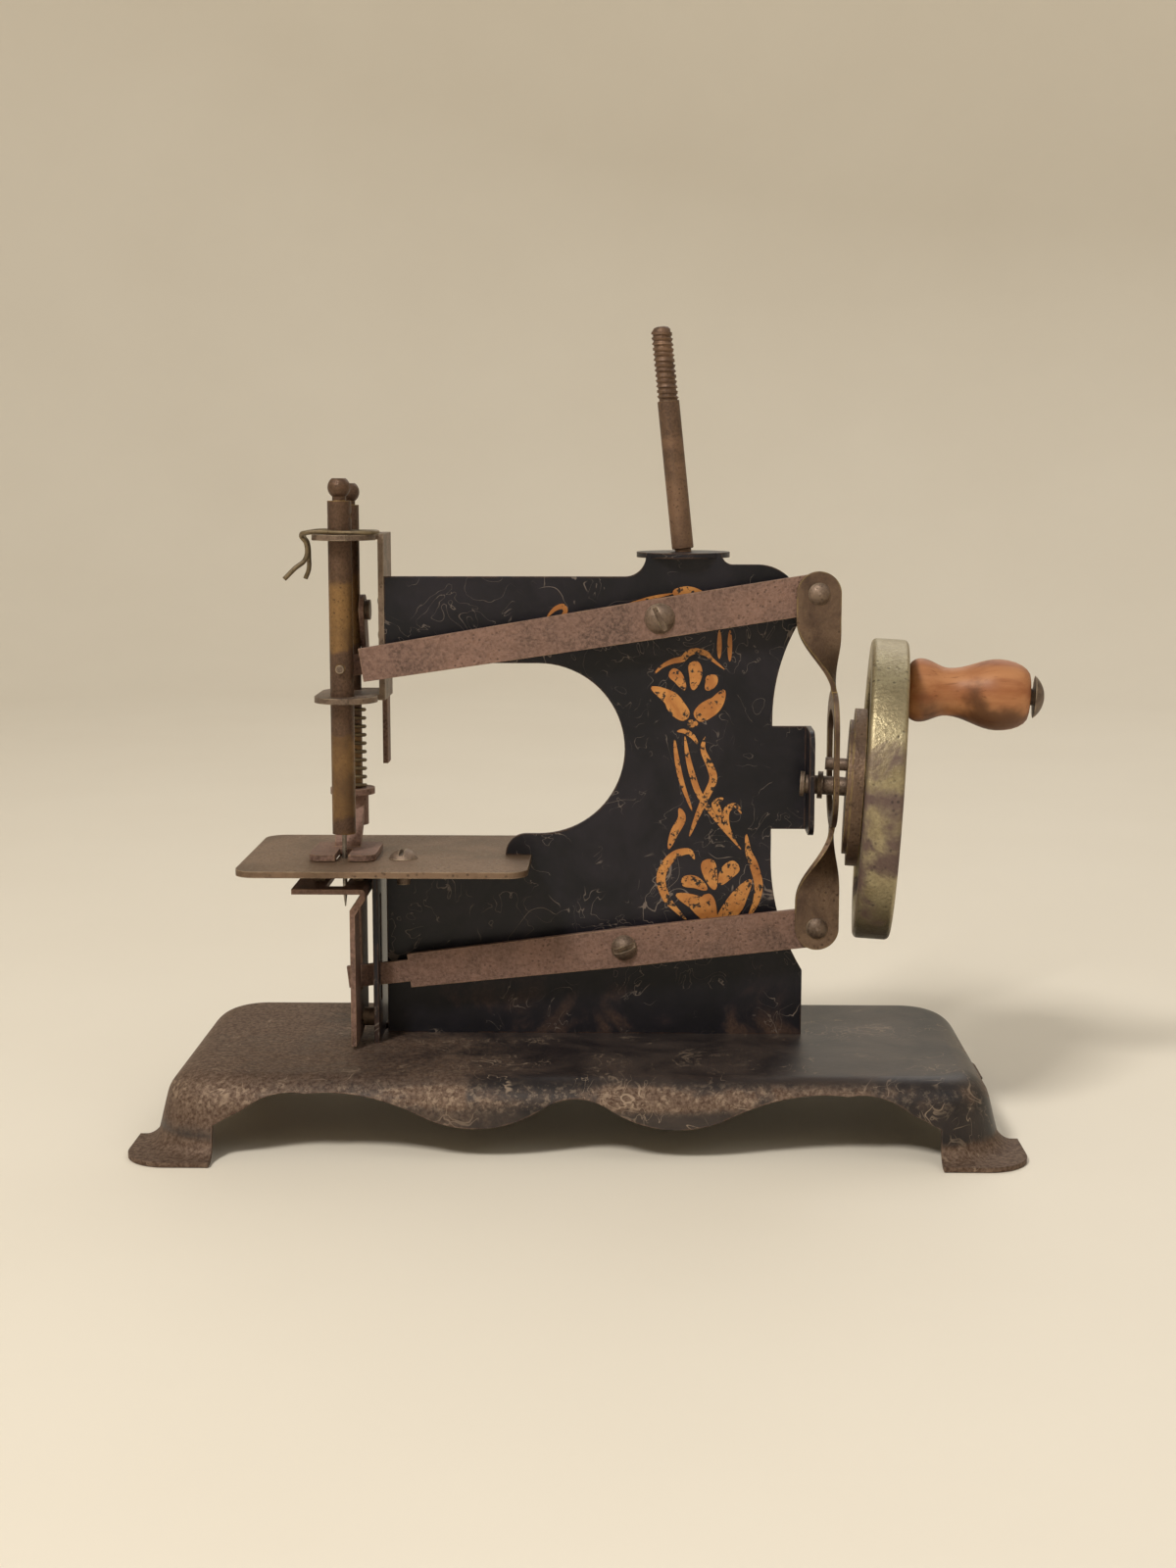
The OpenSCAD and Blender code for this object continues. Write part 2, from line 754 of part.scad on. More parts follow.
module feed_bracket_rivet() {
    color("#5a5148") placed() translate([bracket_x + feed_t + bracket_rivet_y / 2, bracket_rivet_y, 0]) {
        translate([0, 0, base_h - base_sheet]) cylinder(h = base_sheet + feed_t, r = rivet_r);
        translate([0, 0, base_h + feed_t]) dome(rivet_head_r, rivet_head_h);
        translate([0, 0, base_h - base_sheet]) mirror([0, 0, 1]) dome(rivet_head_r, rivet_head_h);
    }
}

module feed_pivot_pin() {
    color("#6b6156") placed() {
        x_pin(feed_pin_y, feed_pin_z, feed_sheet_x - loose, bracket_x + feed_t, feed_pin_r);
        x_pin(feed_pin_y, feed_pin_z, feed_sheet_x - loose - rivet_head_h,
            feed_sheet_x - loose, rivet_head_r);
        x_pin(feed_pin_y, feed_pin_z, feed_sheet_x + feed_t + loose, bracket_x, rivet_head_r);
    }
}

// From the middle of the spool tab's upper face, leaning to the left
module spool_line() {
    translate([neck_x, spool_tab_y, arm_top + neck_h]) rotate([0, -spool_lean, 0]) children();
}

module spool_pin() {
    color("#6d5a44") placed() {
        spool_line() {
            translate([0, 0, -spool_foot]) cylinder(h = spool_foot + spool_step, r = spool_foot_r);
            translate([0, 0, spool_step]) cylinder(h = spool_plain - spool_step, r = spool_r);
            translate([0, 0, spool_plain]) cylinder(h = spool_thread_len, r = spool_r - thread_depth);
            for (turn = [1 : spool_thread_len / thread_pitch - 1])
                translate([0, 0, spool_plain + turn * thread_pitch])
                    cylinder(h = thread_pitch / 2, r = spool_r - fit);
        }
        translate([neck_x, spool_tab_y, arm_top + neck_h - plate_t - nut_h])
            cylinder(h = nut_h, r = spool_nut_r, $fn = 6);
    }
}

module thread_guide() {
    color("#8b7a5c") placed() tube(guide_path, guide_r, guide_sides, [0, 1, 0]);
}

module at_pivots() {
    translate([upper_x, 0, upper_z]) {
        $which = 0;
        children();
    }
    translate([lower_x, 0, lower_z]) {
        $which = 1;
        children();
    }
}

module pivot_screws() {
    color("#6b5a45") placed() at_pivots()
        translate([0, lever_front - fit * 2, 0]) rotate([90, 0, 0])
            slotted_screw(pivot_r, -lever_front + plate_back + nut_h + pivot_end,
                pivot_head_rs[$which], pivot_head_h, pivot_slot_turns[$which]);
}

module pivot_spacers() {
    color("#54483a") placed() at_pivots() difference() {
        y_pin(0, 0, lever_back + fit, plate_front, spacer_r);
        y_pin(0, 0, lever_back - over, plate_front + over, pivot_r);
    }
}

module pivot_nuts() {
    color("#54483a") placed() at_pivots() difference() {
        translate([0, plate_back, 0]) rotate([-90, 0, 0]) cylinder(h = nut_h, r = nut_r, $fn = 6);
        y_pin(0, 0, 0, plate_back + nut_h + over, pivot_r);
    }
}

// The presser spring's wire, from the lug down to the seat
function spring_height(turn) = turn < spring_open_turns
    ? spring_top - turn * spring_pitch
    : spring_top - spring_open_turns * spring_pitch - (turn - spring_open_turns) * spring_close_pitch;
spring_coil = [
    for (i = [0 : floor(spring_turns * spring_rings)])
        let (turn = i / spring_rings)
        [needle_x + spring_mean_r * cos(360 * turn), presser_y + spring_mean_r * sin(360 * turn),
            spring_height(turn)]
];
spring_last = len(spring_coil) - 1;
spring_end = spring_coil[spring_last];
spring_path = concat(
    [spring_coil[0] + [0, -spring_wire, 0]],
    spring_coil,
    [spring_end + spring_wire * unit(cross([0, 0, 1], spring_end - [needle_x, presser_y, spring_end[2]]))]
);
spring_gap = min([
    for (i = [0 : spring_last], j = [i + 1 : spring_last])
        if (j - i > spring_rings / 2) norm(spring_coil[i] - spring_coil[j]) - spring_wire
]);
echo("least gap of the spring to itself", spring_gap);

module presser_spring() {
    color("#7a6a50") placed() tube(spring_path, spring_wire / 2, spring_sides, [0, 0, 1]);
}

module flywheel() {
    color("#8c7a4c") placed() on_shaft() difference() {
        union() {
            rotate_extrude() translate([wheel_d / 2 - rim_t / 2, rim_at + wheel_w / 2])
                rounded([rim_t, wheel_w], rim_round);
            translate([0, 0, web_at]) cylinder(h = web_t, r = wheel_d / 2 - rim_t / 2);
            translate([0, 0, hub_at]) cylinder(h = hub_end - hub_at, r = hub_r);
        }
        cylinder(h = 2 * hub_end, r = shaft_r);
        translate([-handle_arm, 0, 0]) cylinder(h = 2 * hub_end, r = spindle_r);
    }
}

module crank_disc() {
    color("#7c7460") placed() on_shaft() difference() {
        union() {
            translate([0, 0, disc_at + disc_step_h]) cylinder(h = disc_h - disc_step_h, r = disc_r);
            translate([0, 0, disc_at]) cylinder(h = disc_step_h + tiny, r = disc_step_r);
        }
        cylinder(h = 2 * hub_end, r = shaft_r);
        translate([-crank_throw, 0, 0]) cylinder(h = 2 * hub_end, r = crank_pin_r);
    }
}

module crank_shaft() {
    color("#6f624c") placed() on_shaft() {
        translate([0, 0, shaft_left]) cylinder(h = shaft_end - shaft_left, r = shaft_r);
        translate([0, 0, shaft_left]) cylinder(h = shaft_head_h, r = shaft_head_r);
    }
}

module crank_pin() {
    color("#6f624c") placed() on_shaft()
        translate([-crank_throw, 0, crank_pin_end]) cylinder(h = hub_at - crank_pin_end, r = crank_pin_r);
}

module shaft_collar() {
    color("#4a4137") placed() on_shaft() difference() {
        translate([0, 0, collar_at]) cylinder(h = collar_h, r = collar_r);
        cylinder(h = hub_end, r = shaft_r);
    }
}

module handle_spindle() {
    color("#8a7b58") placed() on_shaft() translate([-handle_arm, 0, 0]) {
        translate([0, 0, web_at - spindle_tail])
            cylinder(h = spindle_end - spindle_head_h - web_at + spindle_tail, r = spindle_r);
        translate([0, 0, web_at + web_t])
            cylinder(h = handle_at - web_at - web_t - fit, r = spindle_collar_r);
        translate([0, 0, spindle_end - spindle_head_h]) dome(spindle_head_r, spindle_head_h);
    }
}

// The turned handle: a bead, a hollow waist and a belly that run into each other
bead_z = bead_share * handle_len;
waist_z = waist_share * handle_len;
belly_z = belly_share * handle_len;
function swelling(low, high) = [
    for (i = [1 : swell_steps])
        let (s = i / swell_steps)
        low + [(high[0] - low[0]) * (1 - cos(180 * s)) / 2, (high[1] - low[1]) * s]
];
handle_points = concat(
    [[handle_bore_r, 0]],
    [for (a = [0 : 15 : 90]) [bead_edge_r + (bead_r - bead_edge_r) * sin(a), bead_z * (1 - cos(a))]],
    swelling([bead_r, bead_z], [waist_r, waist_z]),
    swelling([waist_r, waist_z], [belly_r, belly_z]),
    [for (a = [15 : 15 : 90])
        [handle_end_r + (belly_r - handle_end_r) * cos(a), belly_z + (handle_len - belly_z) * sin(a)]],
    [[handle_bore_r, handle_len]]
);

module crank_handle() {
    color("#a5622c") placed() on_shaft() translate([-handle_arm, 0, handle_at])
        rotate_extrude() polygon(handle_points);
}

// A straight lever along X with round ends, drawn about its pivot
module lever_outline(left, right, left_w) {
    polygon([[-left, -left_w / 2], [0, -lever_w / 2], [right, -lever_w / 2], [right, lever_w / 2],
        [0, lever_w / 2], [-left, left_w / 2]]);
    translate([right, 0]) circle(lever_w / 2);
}

module upper_lever() {
    finger_x = -finger_end + finger_h / 2;
    pin_x = -(upper_x - needle_x) / cos(upper_tilt);
    color("#5c4632") placed() translate([upper_x, 0, upper_z]) rotate([0, -upper_tilt, 0]) difference() {
        union() {
            panel(lever_front, lever_t) lever_outline(upper_shoulder, upper_right, upper_left_w);
            box([-upper_shoulder, lever_front, -finger_h / 2],
                [-upper_shoulder + finger_t, finger_back, finger_h / 2]);
            box([finger_x, finger_front, -finger_h / 2],
                [-upper_shoulder + finger_t, finger_back, finger_h / 2]);
            y_pin(finger_x, 0, finger_front, finger_back, finger_h / 2);
        }
        y_pin(0, 0, lever_front - over, lever_back + over, pivot_r + fit);
        y_pin(upper_right, 0, lever_front - over, lever_back + over, strap_pin_r + fit);
        box([pin_x - pin_slot / 2, finger_front - over, -bar_pin_r - 2 * fit],
            [pin_x + pin_slot / 2, finger_back + over, bar_pin_r + 2 * fit]);
    }
}

module lower_lever() {
    color("#594733") placed() translate([lower_x, 0, lower_z]) rotate([0, -lower_tilt, 0]) difference() {
        union() {
            panel(lever_front, lever_t) lever_outline(lower_shoulder, lower_right, lever_w - over);
            box([-lower_end, lever_front, -lower_tip_h / 2],
                [-lower_shoulder + over, lever_back, lower_tip_h / 2]);
        }
        y_pin(0, 0, lever_front - over, lever_back + over, pivot_r + fit);
        y_pin(lower_right, 0, lever_front - over, lever_back + over, strap_pin_r + open_pin_gap);
    }
}

// A strip that turns a quarter round its own length between two heights
module twisted_neck(low, high, low_x, high_x, low_w, high_w, low_turn, high_turn) {
    rows = [for (i = [0 : neck_steps]) i / neck_steps];
    thin = strap_t - neck_thin;
    points = [
        for (s = rows, c = [[-1, -1], [1, -1], [1, 1], [-1, 1]])
            let (e = s * s * (3 - 2 * s))
            let (a = low_turn + e * (high_turn - low_turn), w = low_w + e * (high_w - low_w))
            [low_x + e * (high_x - low_x) + (c[0] * w * cos(a) - c[1] * thin * sin(a)) / 2,
                strap_y + (c[0] * w * sin(a) + c[1] * thin * cos(a)) / 2,
                low + s * (high - low)]
    ];
    walls = [
        for (i = [0 : neck_steps - 1], k = [0 : 3], half = [0, 1])
            let (a = 4 * i + k, b = 4 * i + (k + 1) % 4)
            half == 0 ? [a, a + 4, b + 4] : [a, b + 4, b]
    ];
    top = 4 * neck_steps;
    ends = [[0, 1, 2], [0, 2, 3], [top, top + 2, top + 1], [top, top + 3, top + 2]];
    polyhedron(points, concat(walls, ends));
}

module eye_outline(grow, top_grow) {
    translate([strap_y - eye_half - grow, shaft_z])
        square([2 * (eye_half + grow), strap_travel + top_grow - grow]);
    translate([strap_y, shaft_z]) circle(eye_half + grow);
    translate([strap_y, shaft_z + strap_travel + top_grow - grow]) circle(eye_half + grow);
}

module drive_strap() {
    eye_mid = eye_x + strap_t / 2;
    eye_low = shaft_z - eye_half - eye_rim;
    eye_high = shaft_z + strap_travel + eye_half + eye_top_rim;
    upper_edge = strap_upper[1] - strap_tail;
    lower_edge = strap_lower[1] + strap_tail;
    color("#85744a") placed() difference() {
        union() {
            panel(strap_front, strap_t) {
                translate(strap_upper) circle(strap_end_r);
                translate([strap_upper[0] - strap_end_r, upper_edge]) square([2 * strap_end_r, strap_tail]);
                translate(strap_lower) circle(strap_end_r);
                translate([strap_lower[0] - strap_end_r, strap_lower[1]])
                    square([2 * strap_end_r, strap_tail]);
            }
            side_panel(eye_x, strap_t) difference() {
                eye_outline(eye_rim, eye_top_rim);
                eye_outline(0, 0);
            }
            twisted_neck(eye_high - neck_sink, upper_edge + neck_sink, eye_mid, strap_upper[0],
                neck_w, 2 * strap_end_r - neck_thin, 90, 0);
            twisted_neck(lower_edge - neck_sink, eye_low + neck_sink, strap_lower[0], eye_mid,
                2 * strap_end_r - neck_thin, neck_w, 0, 90);
        }
        for (p = [strap_upper, strap_lower])
            y_pin(p[0], p[1], strap_front - over, strap_front + strap_t + over, strap_pin_r);
    }
}

module link_rivets() {
    color("#6f6348") placed() for (p = [strap_upper, strap_lower]) {
        y_pin(p[0], p[1], strap_front, lever_back + loose, strap_pin_r);
        translate([p[0], strap_front, p[1]]) rotate([90, 0, 0]) dome(link_head_r, link_head_h);
        translate([p[0], lever_back + loose, p[1]]) rotate([-90, 0, 0]) dome(link_head_r, link_head_h);
    }
}

// A bar with a neck and a flattened ball on top
module knobbed_bar(r, low, high) {
    translate([0, 0, low]) cylinder(h = high - low, r = r);
    translate([0, 0, high - tiny]) cylinder(h = neck_tall + 2 * tiny, r = neck_r);
    translate([0, 0, high + neck_tall + ball_h / 2]) intersection() {
        sphere(ball_r);
        cylinder(h = ball_h, r = 2 * ball_r, center = true);
    }
}

module needle_bar() {
    color("#8a6d42") placed() difference() {
        translate([needle_x, needle_y, 0]) knobbed_bar(needle_bar_r, needle_bar_low, needle_bar_high);
        x_pin(needle_y, thread_hole_z, needle_x - 2 * needle_bar_r, needle_x + 2 * needle_bar_r,
            thread_hole_r);
        y_pin(needle_x, bar_pin_z, needle_y - 2 * needle_bar_r, needle_y + 2 * needle_bar_r, bar_pin_r);
        translate([needle_x, needle_y, needle_bar_low - over]) cylinder(h = over + needle_sunk, r = needle_r);
    }
}

module needle() {
    color("#b9b4aa") placed() translate([needle_x, needle_y, 0]) {
        translate([0, 0, needle_tip + needle_point])
            cylinder(h = needle_bar_low + needle_sunk - needle_tip - needle_point, r = needle_r);
        translate([0, 0, needle_tip]) cylinder(h = needle_point, r1 = needle_r / 4, r2 = needle_r);
    }
}

module needle_bar_pin() {
    color("#54483a") placed()
        y_pin(needle_x, bar_pin_z, needle_y - needle_bar_r - bar_pin_proud, finger_back + fit * 2, bar_pin_r);
}

module presser_bar() {
    color("#84693f") placed() difference() {
        translate([needle_x, presser_y, 0]) knobbed_bar(presser_bar_r, presser_low, presser_high);
        x_pin(presser_y, lifter_z, needle_x - over, needle_x + 2 * presser_bar_r, lifter_screw_r);
    }
}

module spring_seat() {
    color("#6b5a42") placed() difference() {
        translate([needle_x, presser_y, seat_z]) cylinder(h = seat_t, r = seat_r);
        translate([needle_x, presser_y, seat_z - over]) cylinder(h = seat_t + 2 * over, r = presser_bar_r);
    }
}

module presser_foot() {
    low = cloth_top + sole_gap;
    high = low + sole_t;
    color("#7b6745") placed() difference() {
        union() {
            translate([needle_x, (sole_front + sole_back) / 2, low])
                linear_extrude(sole_t) rounded([sole_w, sole_back - sole_front], sole_corner);
            side_panel(needle_x - foot_neck_w / 2, foot_neck_w)
                polygon([[sole_back - 3 * sole_corner, low + fit], [presser_y + sole_t, seat_z - 2 * sole_t],
                    [presser_y - sole_t, seat_z - sole_t], [sole_back - 3 * sole_corner, high + over]]);
            translate([needle_x, presser_y, presser_low])
                cylinder(h = seat_z - presser_low, r = foot_socket_r);
        }
        translate([needle_x, presser_y, presser_low - over])
            cylinder(h = seat_z - presser_low + 2 * over, r = presser_bar_r);
        box([needle_x - sole_slot_w / 2, sole_front - over, low - over],
            [needle_x + sole_slot_w / 2, sole_slot_back, high + over]);
    }
}

module presser_lifter() {
    tail_front = lug_back + lifter_gap;
    tail_back = tail_front + lifter_w;
    tail_top = lifter_bend_z - lifter_w;
    tail_x = lifter_x + lifter_step;
    color("#5d4c38") placed() difference() {
        union() {
            side_panel(lifter_x, lifter_t) {
                translate([presser_y, lifter_z]) circle(lifter_eye_r);
                polygon([[presser_y - lifter_eye_r, lifter_z], [presser_y + lifter_eye_r, lifter_z],
                    [lifter_back, lifter_bend_z], [lifter_back, tail_top], [presser_y, lifter_bend_z]]);
                translate([tail_front, tail_top - lifter_t])
                    square([lifter_back - tail_front, lifter_bend_z - tail_top + lifter_t]);
            }
            box([lifter_x, tail_front, tail_top - lifter_t], [tail_x + lifter_t, tail_back, tail_top]);
            box([tail_x, tail_front, lifter_low], [tail_x + lifter_t, tail_back, tail_top]);
        }
        x_pin(presser_y, lifter_z, lifter_x - over, lifter_x + 2 * over, lifter_screw_r);
    }
}

module lifter_screw() {
    color("#54483a") placed() {
        x_pin(presser_y, lifter_z, needle_x - over, lifter_x + lifter_t, lifter_screw_r);
        x_pin(presser_y, lifter_z, lifter_x + lifter_t, lifter_x + lifter_t + lifter_head_h, lifter_head_r);
    }
}

module feed_arm() {
    x = feed_sheet_x;
    right = x + feed_t + feed_bend_out;
    bar_low = feed_bar_top - feed_t;
    color("#6a543a") placed() difference() {
        panel(feed_front, feed_back - feed_front)
            polygon([[x, feed_low], [x + feed_t, feed_low], [x + feed_t, feed_bend_z],
                [right, feed_bar_top - 2 * feed_t], [right, feed_bar_top - feed_t / 2],
                [right - feed_t / 2, feed_bar_top], [feed_bar_left, feed_bar_top],
                [feed_bar_left, bar_low], [right - feed_t, bar_low],
                [right - feed_t, bar_low - feed_t / 2], [x, feed_bend_z + feed_t]]);
        box([feed_window_xs[0], feed_window_front, bar_low - over],
            [feed_window_xs[1], feed_back + over, feed_bar_top + over]);
        x_pin(feed_pin_y, feed_pin_z, x - over, x + feed_t + over, feed_pin_r + fit);
        side_panel(x - over, feed_t + 2 * over)
            polygon([[lever_y - feed_slot_wide / 2, feed_slot_low],
                [lever_y + feed_slot_wide / 2, feed_slot_low],
                [lever_y + feed_slot_wide / 2 - feed_slot_shift, feed_slot_high],
                [lever_y - feed_slot_wide / 2 - feed_slot_shift, feed_slot_high]]);
        side_panel(x - over, feed_t + 2 * over)
            polygon([[feed_pin_y, feed_low - over], [feed_back + over, feed_low - over],
                [feed_back + over, feed_low + feed_heel], [feed_pin_y, feed_low]]);
    }
}

module feed_dogs() {
    color("#4d4338") placed() for (x = dog_xs) difference() {
        box([x - dog_w / 2, dog_front, feed_bar_top], [x + dog_w / 2, dog_front + dog_len, dog_top]);
        for (tooth = [0 : dog_teeth - 1])
            translate([x - dog_w, dog_front + (2 * tooth + 1) / 2 * dog_len / dog_teeth, dog_top])
                rotate([0, 90, 0]) cylinder(h = 2 * dog_w, r = dog_tooth_h / 2);
    }
}

base();
body_plate();
head_bracket();
head_rivets();
cloth_plate();
cloth_plate_screw();
feed_bracket();
feed_bracket_rivet();
feed_pivot_pin();
spool_pin();
thread_guide();
pivot_screws();
pivot_spacers();
pivot_nuts();
presser_spring();
flywheel();
crank_disc();
crank_shaft();
crank_pin();
shaft_collar();
handle_spindle();
crank_handle();
upper_lever();
drive_strap();
link_rivets();
lower_lever();
needle_bar();
needle();
needle_bar_pin();
presser_bar();
presser_foot();
spring_seat();
presser_lifter();
lifter_screw();
feed_arm();
feed_dogs();
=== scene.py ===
import json
import math
import bmesh
import bpy
from mathutils import Matrix, Vector


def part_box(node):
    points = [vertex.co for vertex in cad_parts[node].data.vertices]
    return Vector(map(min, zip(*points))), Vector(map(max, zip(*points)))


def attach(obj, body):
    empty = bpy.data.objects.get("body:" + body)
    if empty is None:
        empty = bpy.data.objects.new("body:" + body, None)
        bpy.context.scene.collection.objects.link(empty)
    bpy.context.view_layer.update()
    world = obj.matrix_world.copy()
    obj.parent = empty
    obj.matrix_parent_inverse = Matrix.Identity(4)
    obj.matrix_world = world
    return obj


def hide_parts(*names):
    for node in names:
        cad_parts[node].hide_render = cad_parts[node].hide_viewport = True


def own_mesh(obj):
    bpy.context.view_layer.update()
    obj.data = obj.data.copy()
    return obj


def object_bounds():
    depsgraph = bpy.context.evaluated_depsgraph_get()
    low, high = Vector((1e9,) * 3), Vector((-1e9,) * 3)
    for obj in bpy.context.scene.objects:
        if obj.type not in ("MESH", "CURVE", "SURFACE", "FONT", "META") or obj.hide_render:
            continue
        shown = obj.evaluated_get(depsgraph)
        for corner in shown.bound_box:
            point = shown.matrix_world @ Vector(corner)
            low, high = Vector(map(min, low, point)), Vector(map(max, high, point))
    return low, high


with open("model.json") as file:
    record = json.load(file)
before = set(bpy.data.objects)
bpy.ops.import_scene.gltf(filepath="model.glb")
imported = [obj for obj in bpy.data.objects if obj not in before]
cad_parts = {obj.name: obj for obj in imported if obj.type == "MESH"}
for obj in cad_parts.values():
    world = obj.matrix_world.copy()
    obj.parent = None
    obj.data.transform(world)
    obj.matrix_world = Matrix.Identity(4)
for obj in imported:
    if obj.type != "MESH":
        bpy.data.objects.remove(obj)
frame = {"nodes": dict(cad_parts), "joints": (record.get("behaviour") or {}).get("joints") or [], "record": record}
cadLow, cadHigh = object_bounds()
nodes = frame["nodes"]
joints = {joint["name"]: joint for joint in frame["joints"]}
mm = 0.001
print("frame loaded with", len(nodes), "nodes")


# small helpers for node trees

def tint(code):
    parts = [int(code[i:i + 2], 16) / 255 for i in (0, 2, 4)]
    return [((c + 0.055) / 1.055) ** 2.4 if c > 0.04045 else c / 12.92 for c in parts] + [1.0]


def feed(tree, socket, value):
    if isinstance(value, bpy.types.NodeSocket):
        tree.links.new(value, socket)
    else:
        socket.default_value = value


def addNode(tree, kind, settings=None, **inputs):
    made = tree.nodes.new(kind)
    for name, value in (settings or {}).items():
        setattr(made, name, value)
    for name, value in inputs.items():
        feed(tree, made.inputs[name.replace("_", " ")], value)
    return made


def calc(tree, operation, first, second=0.0):
    made = addNode(tree, "ShaderNodeMath", {"operation": operation})
    feed(tree, made.inputs[0], first)
    feed(tree, made.inputs[1], second)
    return made.outputs[0]


def fade(tree, value, low, high, start=0.0, end=1.0):
    made = addNode(tree, "ShaderNodeMapRange", {"interpolation_type": "SMOOTHSTEP"}, Value=value)
    for socket, number in zip(list(made.inputs)[1:5], (low, high, start, end)):
        feed(tree, socket, number)
    return made.outputs[0]


def spread(tree, value, start, end):
    made = addNode(tree, "ShaderNodeMapRange", Value=value)
    feed(tree, made.inputs[3], start)
    feed(tree, made.inputs[4], end)
    return made.outputs[0]


def blendColour(tree, amount, first, second):
    made = addNode(tree, "ShaderNodeMix", {"data_type": "RGBA"})
    for place, value in ((0, amount), (6, first), (7, second)):
        feed(tree, made.inputs[place], value)
    return made.outputs[2]


def makeGroup(name, inputs, outputs):
    tree = bpy.data.node_groups.new(name, "ShaderNodeTree")
    for label, kind, value in inputs:
        socket = tree.interface.new_socket(label, in_out="INPUT", socket_type="NodeSocket" + kind)
        if kind == "Float":
            socket.default_value = value
    for label in outputs:
        tree.interface.new_socket(label, in_out="OUTPUT", socket_type="NodeSocketFloat")
    return tree, tree.nodes.new("NodeGroupInput").outputs, tree.nodes.new("NodeGroupOutput").inputs


def useGroup(tree, group, **inputs):
    return addNode(tree, "ShaderNodeGroup", {"node_tree": group}, **inputs).outputs


def startMaterial(name):
    made = bpy.data.materials.new(name)
    made.use_nodes = True
    tree = made.node_tree
    shader = tree.nodes["Principled BSDF"]
    place = addNode(tree, "ShaderNodeTexCoord").outputs["Object"]
    return made, tree, shader, place


def softBump(tree, height, strength, depth, edge):
    bump = addNode(tree, "ShaderNodeBump", Height=height, Strength=strength, Distance=depth)
    rounded = addNode(tree, "ShaderNodeBevel", {"samples": 4}, Radius=edge)
    tree.links.new(rounded.outputs[0], bump.inputs["Normal"])
    return bump


# shared effects

def buildGrain():
    tree, given, out = makeGroup("agedGrain", [
        ("Place", "Vector", None), ("Fine", "Float", 1500.0), ("Broad", "Float", 80.0)],
        ["Speckle", "Patch", "Pits"])
    speckle = addNode(tree, "ShaderNodeTexNoise", Vector=given["Place"], Scale=given["Fine"],
                      Detail=4.0, Roughness=0.65)
    patch = addNode(tree, "ShaderNodeTexNoise", Vector=given["Place"], Scale=given["Broad"],
                    Detail=7.0, Roughness=0.62, Distortion=0.5)
    pit = addNode(tree, "ShaderNodeTexVoronoi", Vector=given["Place"],
                  Scale=calc(tree, "MULTIPLY", given["Fine"], 0.55))
    pits = calc(tree, "MULTIPLY", fade(tree, pit.outputs["Distance"], 0.34, 0.1),
                fade(tree, patch.outputs["Fac"], 0.46, 0.62))
    tree.links.new(fade(tree, speckle.outputs["Fac"], 0.3, 0.7), out["Speckle"])
    tree.links.new(fade(tree, patch.outputs["Fac"], 0.34, 0.66), out["Patch"])
    tree.links.new(pits, out["Pits"])
    return tree


def buildSquiggles():
    tree, given, out = makeGroup("squiggleMarks", [
        ("Place", "Vector", None), ("Scale", "Float", 120.0), ("Width", "Float", 0.012),
        ("Cover", "Float", 0.55)], ["Marks"])
    wander = addNode(tree, "ShaderNodeTexNoise", Vector=given["Place"], Scale=given["Scale"],
                     Detail=2.5, Roughness=0.5, Distortion=1.4)
    line = calc(tree, "ABSOLUTE", calc(tree, "SUBTRACT", wander.outputs["Fac"], 0.5))
    line = fade(tree, line, given["Width"], calc(tree, "MULTIPLY", given["Width"], 0.3))
    gate = addNode(tree, "ShaderNodeTexNoise", Vector=given["Place"],
                   Scale=calc(tree, "MULTIPLY", given["Scale"], 0.62), Detail=3.0)
    shown = fade(tree, gate.outputs["Fac"], given["Cover"],
                 calc(tree, "ADD", given["Cover"], 0.06))
    tree.links.new(calc(tree, "MULTIPLY", line, shown), out["Marks"])
    return tree


def buildEdgeRub():
    tree, given, out = makeGroup("edgeRub", [
        ("Place", "Vector", None), ("Radius", "Float", 0.0005), ("Break", "Float", 300.0),
        ("Gain", "Float", 3.0)], ["Rub"])
    soft = addNode(tree, "ShaderNodeBevel", {"samples": 6}, Radius=given["Radius"])
    true = addNode(tree, "ShaderNodeNewGeometry")
    meet = addNode(tree, "ShaderNodeVectorMath", {"operation": "DOT_PRODUCT"})
    tree.links.new(soft.outputs[0], meet.inputs[0])
    tree.links.new(true.outputs["Normal"], meet.inputs[1])
    turn = calc(tree, "MULTIPLY", calc(tree, "SUBTRACT", 1.0, meet.outputs["Value"]), given["Gain"])
    rough = addNode(tree, "ShaderNodeTexNoise", Vector=given["Place"], Scale=given["Break"], Detail=5.0)
    rub = calc(tree, "MULTIPLY", turn, fade(tree, rough.outputs["Fac"], 0.32, 0.62))
    tree.links.new(fade(tree, rub, 0.08, 0.5), out["Rub"])
    return tree


agedGrain, squiggleMarks, edgeRub = buildGrain(), buildSquiggles(), buildEdgeRub()
print("shared effects built")


# metals with patina, rust and rubbed edges

